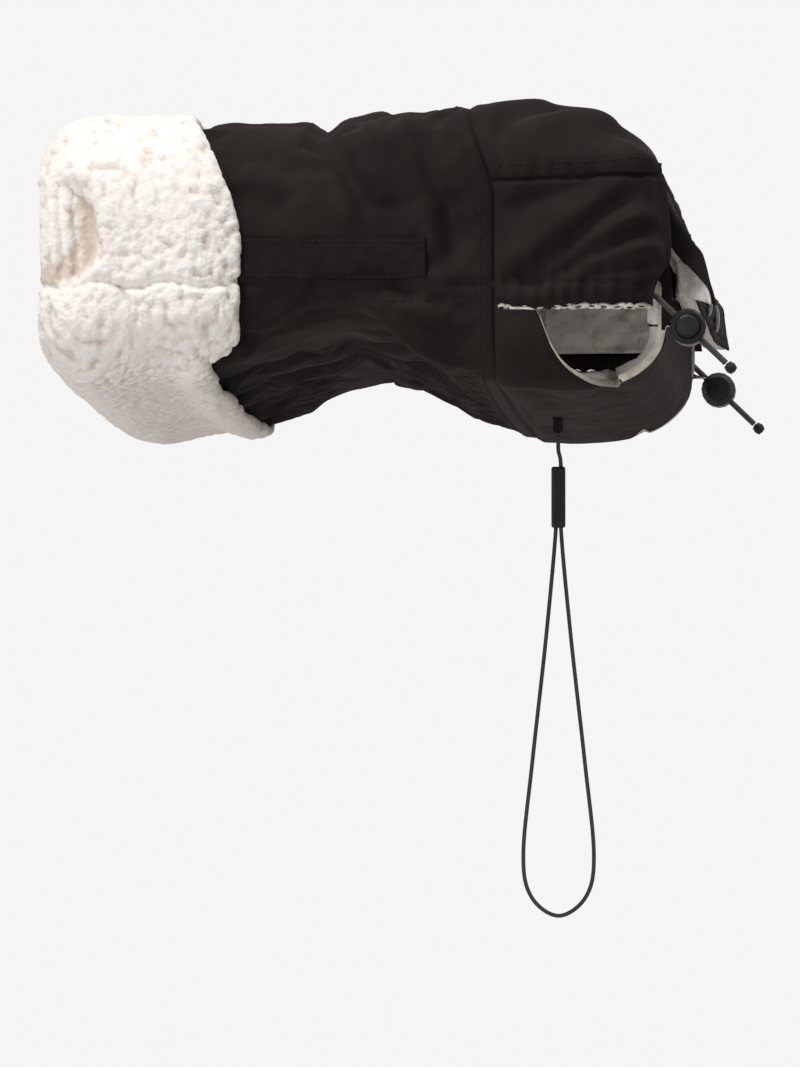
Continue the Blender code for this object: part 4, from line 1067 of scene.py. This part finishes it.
def wings():
    """The hood's two sides, drawn in along their hems."""
    for side, name in SIDES:
        grid = wing_grid(side)
        flat = grid[..., 0]
        grid = bowed(grid)
        normals = grid_normals(grid)
        x, z = grid[..., 0], grid[..., 2]
        height = z + HEM_DROP
        arched = np.sin(np.clip(height / (WING_TOP + HEM_DROP), 0, 1) * math.pi)
        gathers = np.sin(x * 2 * math.pi / 0.0066 + 1.7 * np.sin(x * 120 + side))
        moved = folds(grid, sides=wing_side_folds) + 0.0022 * arched * np.clip((x + 0.022) / 0.02, 0, 1)
        moved += 0.00055 * gathers * np.exp(-np.clip(height, 0, None) / 0.008)
        moved -= 0.0011 * bell(height - HEM_STITCHES, 0.0011)
        top = np.interp(flat, *hood_rows(np.linspace(0, 1, 60))[::3]) - z
        moved = held(moved, flat) - 0.0026 * ease(top, 0.0046, 0.0016)
        outer = grid + normals * moved[..., None]
        cloth_layer(f"{name}_wing_shell", outer, normals, FABRIC * 0.7, f"{name}_wing_outer")
        row = int(np.argmin(np.abs(height[40] - HEM_STITCHES)))
        stitch_row(f"{name}_hem_stitches", outer, normals, np.s_[2:-3, row])
        low = int(np.argmin(np.abs(height[40] - 0.0010)))
        part = np.s_[3:-8, low:] if side == NEAR else np.s_[3:-8, : low + 1]
        ways, skin = normals[part], (0.0012, CURL, 8.0)
        back = outer[part] - ways * (FABRIC + GAP)
        pile_layer(f"{name}_wing_pile", back, ways, HOOD_PILE - CURL_ROOT, skin, f"{name}_wing_lining")


def facings():
    """The turned-in facing behind each wing's front edge, which hangs to the level of the cord lock."""
    for side, name in SIDES:
        height = np.linspace(0.014, -0.0395 if side == NEAR else -0.0240, 60)[:, None]
        share = np.linspace(0, 1, 14)[None]
        front = mix(0.0462, 0.0494, ease(height, 0.004, -0.026)) - 0.0030 * ease(height, -0.034, -0.0395)
        x = mix(mix(0.0385, 0.0452, ease(height, -0.014, -0.023)), front, share)
        y = mix(0.1866, 0.1832, ease(height, -0.018, -0.026)) + 0.0004 * np.sin(height * 420) * share
        grid = np.stack([x, side * y, height + 0 * share], axis=-1)[:, ::-side]
        cloth_layer(f"{name}_front_facing", grid, grid_normals(grid), 0.0009, padded=False)


def hem_line(side, drop, inset, count):
    """Points along a side hem at a depth, up to the channel's end."""
    x, _, half, _ = hood_rows(np.linspace(0, 1, 40))
    keep = x < CHANNEL_END - CHANNEL_RADIUS
    points = np.column_stack([x, side * (half - inset), np.full(len(x), -drop)])[keep]
    points[0, 0] += CHANNEL_RADIUS / 2
    end = [CHANNEL_END, side * (HALF_WIDTH - CHANNEL_END_INSET), -drop]
    return rounded(np.concatenate([points[::4], [end]]), count)


def hems():
    """The gathered channels along the side hems, the stitched piping under them and the drawcords."""
    for side, name in SIDES:
        line = hem_line(side, HEM_CENTRE, CHANNEL_RADIUS + GAP, 150)
        along = np.linspace(0, 1, len(line))
        ruche = np.sin(along * 2 * math.pi * 13 + 2.2 * np.sin(along * 31 + side))
        radius = CHANNEL_RADIUS * (0.90 + 0.05 * ruche + 0.03 * np.sin(along * 97))
        piece = sweep(f"{name}_hem_ruche", bowed(line), radius, 20)
        dress(piece, SOFTSHELL, "muff", "black_fabric", f"{name}_hem_channel")

        under = HEM_CENTRE + CHANNEL_RADIUS + 0.0015
        line = bowed(hem_line(side, under, CHANNEL_RADIUS - 0.0004, 150))
        line[:, 2] += 0.00035 * ruche
        piece = sweep(f"{name}_piping", line, 0.0010 * (1 + 0.14 * np.sin(along * 83 + side)))
        dress(piece, CREAM_TAPE, "muff", "cream_trim", f"{name}_hem_piping")
        out = np.tile([0.0, side * 0.9, -0.3], (len(line), 1))
        sizes = (0.0052, 0.0026, 0.00034)
        stitches(f"{name}_piping_stitches", line + out * 0.0011, out, "muff", "cream_trim", *sizes)

        cad = hem_line(side, HEM_CENTRE, CHANNEL_RADIUS + GAP, 12)
        turn = cad[-1] + unit(cad[-1] - cad[-2]) * 0.002
        tail = np.linspace(0, 1, 14)[:, None] * np.array(TAIL_WAY) * (LOCK_DISTANCE + TAIL_LENGTH)
        piece = sweep(f"{name}_draw_cord", rounded(np.concatenate([cad, turn + tail]), 160), DRAWCORD_RADIUS)
        dress(piece, BLACK_CORD, "muff", "black_cord", f"{name}_drawcord")


# The panel under the bar


def panel_section(half, cheek_top, bottom, count):
    """The under panel's section from the far edge to the near one."""
    shoulder = min(-CHEEK_TOP_DROP, bottom + CHEEK_RADIUS)
    angle = np.linspace(0, math.pi / 2, 60)
    across, depth = half - CHEEK_RADIUS + CHEEK_RADIUS * np.cos(angle), shoulder - bottom
    turn = np.column_stack([across, shoulder - depth * np.sin(angle)])
    turn = turn[turn[:, 1] <= cheek_top + 1e-9]
    if len(turn) < 2:
        turn = np.array([(half, bottom), (half - CHEEK_RADIUS, bottom)])
    elif cheek_top > shoulder:
        turn = np.concatenate([[(half, cheek_top)], turn])
    side = spread(turn, count // 4)
    across = np.linspace(side[-1, 0], -side[-1, 0], count - 2 * len(side) + 2)[1:-1]
    middle = np.column_stack([across, np.full(len(across), bottom)])
    return np.concatenate([side, middle, (side * [-1, 1])[::-1]])


def panel_grid(rows=70, columns=320):
    """The under panel's surface from the seam to the top of its lip."""
    start = (-SEAM_SETBACK + GAP) / LIP_REACH
    first, last = panel_shares[0][1:], panel_shares[-1]
    deep = BOTTOM_DROP / LIP_REACH
    along = run_of([(start, first[0] * deep)] + [(row[0], row[1] * deep) for row in panel_shares[1:]])
    table = [(0.0, start, *first), (0.05, start + 0.08, *first)]
    table += [(0.05 + place, *row) for place, row in zip(along[1:], panel_shares[1:])]
    top = LIP_TOP_DROP / BOTTOM_DROP
    table.append((0.05 + along[-1] + (last[1] - top) * deep, 1.0, top, last[2], top))
    grid = []
    for reach, depth, width, cheek in through(table, np.linspace(0, table[-1][0], rows)):
        cheek_top, bottom = -BOTTOM_DROP * min(cheek, depth), -BOTTOM_DROP * depth
        grid.append(at_x(reach * LIP_REACH, panel_section(HALF_WIDTH * width, cheek_top, bottom, columns)))
    return np.array(grid)


def under_panel():
    """The panel under the bar: cloth outside, pile inside and a cream binding along each slot."""
    grid = panel_grid()
    flat = grid[..., 0]
    grid = bowed(grid)
    normals = grid_normals(grid)
    moved = folds(grid, bottoms=panel_folds) * ease(-grid[..., 2], 0.030, 0.050)
    moved = held(moved + 0.0004 * grain(grid, 0.009, 1.9) + 0.0004, flat)
    outer = grid + normals * moved[..., None]
    cloth_layer("under_panel_shell", outer, normals, FABRIC, "under_panel_outer")
    back = outer[3:] - normals[3:] * (FABRIC + GAP)
    place = np.array([run_of(row) for row in outer[3:]])
    full = mix(0.20, 1.0, ease(np.minimum(place, place[:, -1:] - place), 0.0, 0.012))
    skin = (0.0012, CURL, 10.0)
    depth = PANEL_PILE - CURL_ROOT
    pile_layer("under_panel_pile", back, normals[3:], depth, skin, "under_panel_lining", full=full)
    for name, column, beside in (("far", 0, 1), ("near", -1, -2)):
        slot_binding(name, grid[3:, column], grid[3:, beside], normals[3:, column])


def slot_binding(name, edge, beside, ways):
    """A tape along a slot's edge, smoothed and flattened at its ends."""
    depth = (FABRIC + GAP + 0.20 * PANEL_PILE) / 2
    away = unit(edge - beside)
    line = edge - ways * depth + away * 0.0004
    along = run_of(line)
    at = np.linspace(0, along[-1], 220)
    line, away, ways = (
        np.stack([np.interp(at, along, row[:, k]) for k in range(3)], axis=1) for row in (line, away, ways)
    )
    for row, count in ((line, 12), (away, 60), (ways, 60)):
        for _ in range(count):
            row[1:-1] = (row[:-2] + row[1:-1] + row[2:]) / 3
    away = unit(away)
    ways = unit(ways - away * (ways * away).sum(axis=1, keepdims=True))
    ends = mix(0.35, 1.0, ease(np.minimum(at, along[-1] - at), 0.0, 0.006))[:, None, None]
    angle = np.linspace(0, 2 * math.pi, 18, endpoint=False)[None, :, None]
    thick = 0.0009 * (1 + 0.06 * np.sin(at * 900))[:, None, None]
    rings = line[:, None] + away[:, None] * thick * np.cos(angle)
    rings += ways[:, None] * (depth + 0.0004) * ends * np.sin(angle)
    piece = closed_tube(f"{name}_slot_tape", rings, run_of(rings.mean(axis=1)), 0.006)
    dress(piece, CREAM_TAPE, "muff", "cream_trim", f"{name}_slot_binding")


# The front flap


def flap_grid(rows=44, columns=240):
    """The front flap's surface from its hinge to its hem."""
    forward, down = np.array(flap_shares).T
    x = mix(HOOD_REACH + 0.0003, FLAP_REACH, forward)
    z = mix(HOOD_FRONT_HEIGHT - GAP, -FLAP_HEM_DROP, down)
    along = run_of(np.column_stack([x, z]))
    grid = []
    for x, z, down in through(np.column_stack([along, x, z, down]), np.linspace(0, along[-1], rows)):
        half = HALF_WIDTH - mix(FLAP_TOP_INSET, FLAP_HEM_INSET, down)
        y = np.linspace(-half, half, columns)
        past = np.clip(1 - (half - np.abs(y)) / FLAP_FLARE_RUN, 0, 1)
        curl = FLAP_CURL * np.clip(1 - (half + y) / FLAP_CURL_RUN, 0, 1) ** 2 * ease(down, 0.45, 1.0)
        grid.append(np.column_stack([x + FLAP_FLARE * past**2 * down**2 + curl, y, z - curl]))
    return np.array(grid)


def front_flap():
    """The front flap: cloth outside with stitched edges, pile inside, and the welt at its seam."""
    grid = flap_grid()
    normals = grid_normals(grid)
    moved = 0.0009 * grain(grid * [1, 0.4, 1], 0.020, 2.5) + 0.0004 * grain(grid, 0.008, 3.9)
    moved *= np.linspace(0, 1, len(grid))[:, None] ** 0.5
    outer = grid + normals * moved[..., None]
    # The cloth turns in over the pile at both side edges
    high = mix(0.08, 1.0, np.clip((outer[:, :1, 2] + FLAP_HEM_DROP) / 0.014, 0, 1))[..., None]
    steps = np.linspace(1, 0.12, 8)[None, :, None] * (FLAP_PILE + FABRIC)
    left = outer[:, :1] - normals[:, :1] * steps * high - [0, 0.0004, 0]
    right = outer[:, -1:] - normals[:, -1:] * steps * high + [0, 0.0004, 0]
    wide = np.concatenate([left, outer, right[:, ::-1]], axis=1)
    cloth_layer(
        "flap_shell", wide, grid_normals(wide), FABRIC, "front_flap_outer", body="front_flap", padded=False
    )
    y = np.linspace(-1, 1, 200) * (HALF_WIDTH - FLAP_TOP_INSET)
    welt = np.column_stack([0 * y + HOOD_REACH - 0.0001, y, 0 * y + HOOD_FRONT_HEIGHT - 0.0010])
    dress(sweep("flap_seam_welt", welt, 0.0013), SOFTSHELL, "muff", "black_fabric")
    for word, where in (("hem", np.s_[-4, 3:-3]), ("near", np.s_[4:-4, 3]), ("far", np.s_[4:-4, -4])):
        stitch_row(f"flap_{word}_stitches", outer, normals, where, "front_flap")
    back = (grid[3:] - normals[3:] * (FABRIC + GAP)) * [1, 0.991, 1]
    inset = np.abs(back[:, -1:, 1]) - np.abs(back[..., 1])
    full = mix(0.22, 1.0, ease(inset, 0.0, 0.014))
    skin, depth = (0.0012, CURL, 12.0), FLAP_PILE - 0.0012
    pile_layer("flap_pile", back, normals[3:], depth, skin, "front_flap_lining", body="front_flap", full=full)


# The ribbon


def ribbon(outer):
    """The plain woven ribbon on the near side, which lies on the sleeve and bridges its small folds."""
    height = -RIBBON_DROP + np.linspace(-0.5, 0.5, 24) * RIBBON_HEIGHT
    rows = []
    for line in np.roll(outer, 60, axis=1)[:, :150]:
        if -0.130 < line[60, 0] < -RIBBON_END:
            line = line[np.argsort(line[:, 2])]
            rows.append(np.column_stack([np.interp(height, line[:, 2], line[:, k]) for k in (0, 1)] + [height]))
    grid = np.array(rows)
    for _ in range(6):
        eased = np.pad(grid[..., 1], ((2, 2), (0, 0)), "edge")
        grid[..., 1] = np.minimum(grid[..., 1], (eased[:-4] + eased[1:-3] + eased[3:-1] + eased[4:]) / 4)
    grid = np.stack([spread(grid[:, k], 120) for k in range(24)], axis=1)
    grid = np.stack([rounded(row[::4], 24) for row in grid])
    normals = grid_normals(grid)
    outer = grid + normals * 0.0011
    piece = slab("ribbon_band", outer, outer - normals * 0.0012)
    dress(piece, BLACK_TAPE, "muff", "black_ribbon", "side_ribbon")
    for word, column in (("lower", 2), ("upper", -3)):
        where, sizes = np.s_[:, column], (0.0026, 0.0018, 0.00018)
        stitch_row(f"ribbon_{word}_stitches", outer, normals, where, "muff", "black_ribbon", *sizes)


# The wrist cord


def wrist_cord():
    """The cord that hangs under the bar, in one loop from its tab through its crimp and back."""
    surface = -BOTTOM_DROP * through(panel_shares, -CORD_BACK / LIP_REACH)[0, 0] - 0.0003
    start = surface - TAB_DROP - 0.0003
    top, end = -CRIMP_TOP_DROP, -CRIMP_TOP_DROP - CRIMP_LENGTH
    side, wide = 0.0010, LOOP_HALF_WIDTH
    fall = -LOOP_DROP - end
    down = [(0, start), (0, mix(start, top, 0.5)), (side, top), (side, end)]
    out = [
        (mix(side, wide, 0.30), end + fall * 0.28),
        (mix(side, wide, 0.72), end + fall * 0.60),
        (wide, end + fall * 0.84),
        (wide * 0.78, end + fall * 0.95),
    ]
    back = [(-x, z) for x, z in out[::-1]]
    up = [(-side, end), (-side, top - CRIMP_LENGTH / 4)]
    route = [(x - CORD_BACK, 0, z) for x, z in [*down, *out, (0, -LOOP_DROP), *back, *up]]
    line = rounded(route, 320)
    piece = sweep("wrist_loop", line, CORD_RADIUS)
    dress(piece, BLACK_CORD, "hanging_cord", "black_cord", "wrist_cord")


# Press studs, cord locks, cord ends, crimp and tab


def hardware():
    """The finishes of the CAD pieces that stay."""
    plastic = ("near_toggle", "far_toggle", "near_cord_end", "far_cord_end", "wrist_cord_sleeve")
    looks = ((("flap_snap", "panel_snap"), BLACK_METAL), (plastic, BLACK_PLASTIC), ("cord_tab", BLACK_TAPE))
    for name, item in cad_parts.items():
        for starts, look in looks:
            if name.startswith(starts):
                paint(item, look)


def springs():
    """The coil in each cord lock, with a mesh of its own; the real coil flattens towards its floor as the
    button is pressed, but this one is fixed.
    """
    for side, name in SIDES:
        low, high = (np.array(corner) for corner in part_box(f"{name}_toggle_spring"))
        middle = (low + high) / 2
        turn = np.linspace(0, 6 * math.pi, 97)
        x, z = (middle[k] + SPRING_RADIUS * way(turn) for k, way in ((0, np.cos), (2, np.sin)))
        depth = np.linspace(low[1] + SPRING_WIRE, high[1] - SPRING_WIRE, len(turn))
        piece = sweep(f"{name}_lock_spring", np.column_stack([x, depth, z]), SPRING_WIRE, 10)
        dress(piece, STEEL, f"{name}_toggle", "spring_steel", f"{name}_toggle_spring")
        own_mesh(piece)


# The scene


def seen_rays(tree):
    """1 for rays from the camera and those that gloss and glass send on, and 0 for light on the muff."""
    path = node(tree, "ShaderNodeLightPath")
    seen = combine(tree, "MAXIMUM", path.outputs["Is Camera Ray"], path.outputs["Is Transmission Ray"])
    return combine(tree, "MAXIMUM", seen, path.outputs["Is Glossy Ray"])


def mixed(tree, factor, first, second):
    """Two shaders mixed by a factor."""
    blend = node(tree, "ShaderNodeMixShader")
    for socket, value in zip(blend.inputs, (factor, first, second)):
        tree.links.new(value, socket)
    return blend.outputs[0]


def plain_shader(tree, kind, colour, **values):
    """A shader of one colour."""
    return node(tree, kind, Color=(*colour, 1), **values).outputs[0]


def backdrop():
    """A plain pale floor under the muff and a plain pale world."""
    pale = (0.915, 0.915, 0.915)
    made, tree, shader = material("floor", (0.86, 0.86, 0.85), 0.9)
    where = node(tree, "ShaderNodeVectorMath", {"operation": "LENGTH"})
    tree.links.new(coordinates(tree), where.inputs[0])
    far = mapped(tree, where.outputs["Value"], From_Min=1.0, From_Max=4.5)
    seen = mixed(tree, far, shader.outputs[0], plain_shader(tree, "ShaderNodeEmission", pale, Strength=1.0))
    dim = plain_shader(tree, "ShaderNodeBsdfDiffuse", (0.62, 0.59, 0.58))
    surface = mixed(tree, seen_rays(tree), dim, seen)
    tree.links.new(surface, tree.nodes["Material Output"].inputs["Surface"])
    corners = [(9.0 * x, 9.0 * y, 0) for x, y in ((-1, -1), (1, -1), (1, 1), (-1, 1))]
    floor = new_mesh("floor", corners, [(0, 1, 2, 3)])
    floor.location = (0, 0, -1.04)
    paint(floor, made)

    world = bpy.data.worlds.new("studio")
    bpy.context.scene.world = world
    world.use_nodes = True
    tree = world.node_tree
    tree.nodes.clear()
    lit = plain_shader(tree, "ShaderNodeBackground", (1.0, 0.99, 0.975), Strength=0.34)
    plain = plain_shader(tree, "ShaderNodeBackground", pale, Strength=1.0)
    output = node(tree, "ShaderNodeOutputWorld")
    tree.links.new(mixed(tree, seen_rays(tree), lit, plain), output.inputs["Surface"])


def lights():
    """A soft key above in front at the mouth's side, a rim from the flap's side and a low fill in front."""
    target = Vector((-0.05, 0, 0))
    for name, place, size, watts, colour in (
        ("key", (-0.70, -1.10, 1.9), 0.9, 34, (1.0, 0.98, 0.96)),
        ("rim", (1.2, 0.1, 1.7), 0.8, 16, (1.0, 0.98, 0.95)),
        ("fill", (-1.3, -2.2, -0.4), 1.3, 22, (1.0, 0.975, 0.965)),
    ):
        data = bpy.data.lights.new(name, "AREA")
        data.shape, data.size, data.energy, data.color = "DISK", size, watts, colour
        item = placed(name, data)
        item.location = place
        item.rotation_euler = (target - Vector(place)).to_track_quat("-Z", "Y").to_euler()


def camera():
    """The photograph's viewing angle: a long lens, slightly from the front and from below."""
    azimuth, elevation, distance = math.radians(3), math.radians(-3), 5.7
    level = math.cos(elevation)
    away = Vector((math.sin(azimuth) * level, -math.cos(azimuth) * level, math.sin(elevation)))
    data = bpy.data.cameras.new("camera")
    data.lens = 484
    data.clip_start, data.clip_end = 0.1, 60
    item = placed("camera", data)
    item.location = Vector((-0.065, 0, -0.108)) + away * distance
    item.rotation_euler = (-away).to_track_quat("-Z", "Y").to_euler()
    bpy.context.scene.camera = item
    bpy.context.scene.view_settings.view_transform = "Standard"


camera()
wrist_cord()
seam_tape()
sleeve_surface = sleeve()
cuff()
hood()
wings()
facings()
hems()
under_panel()
front_flap()
ribbon(sleeve_surface)
hardware()
springs()
backdrop()
lights()
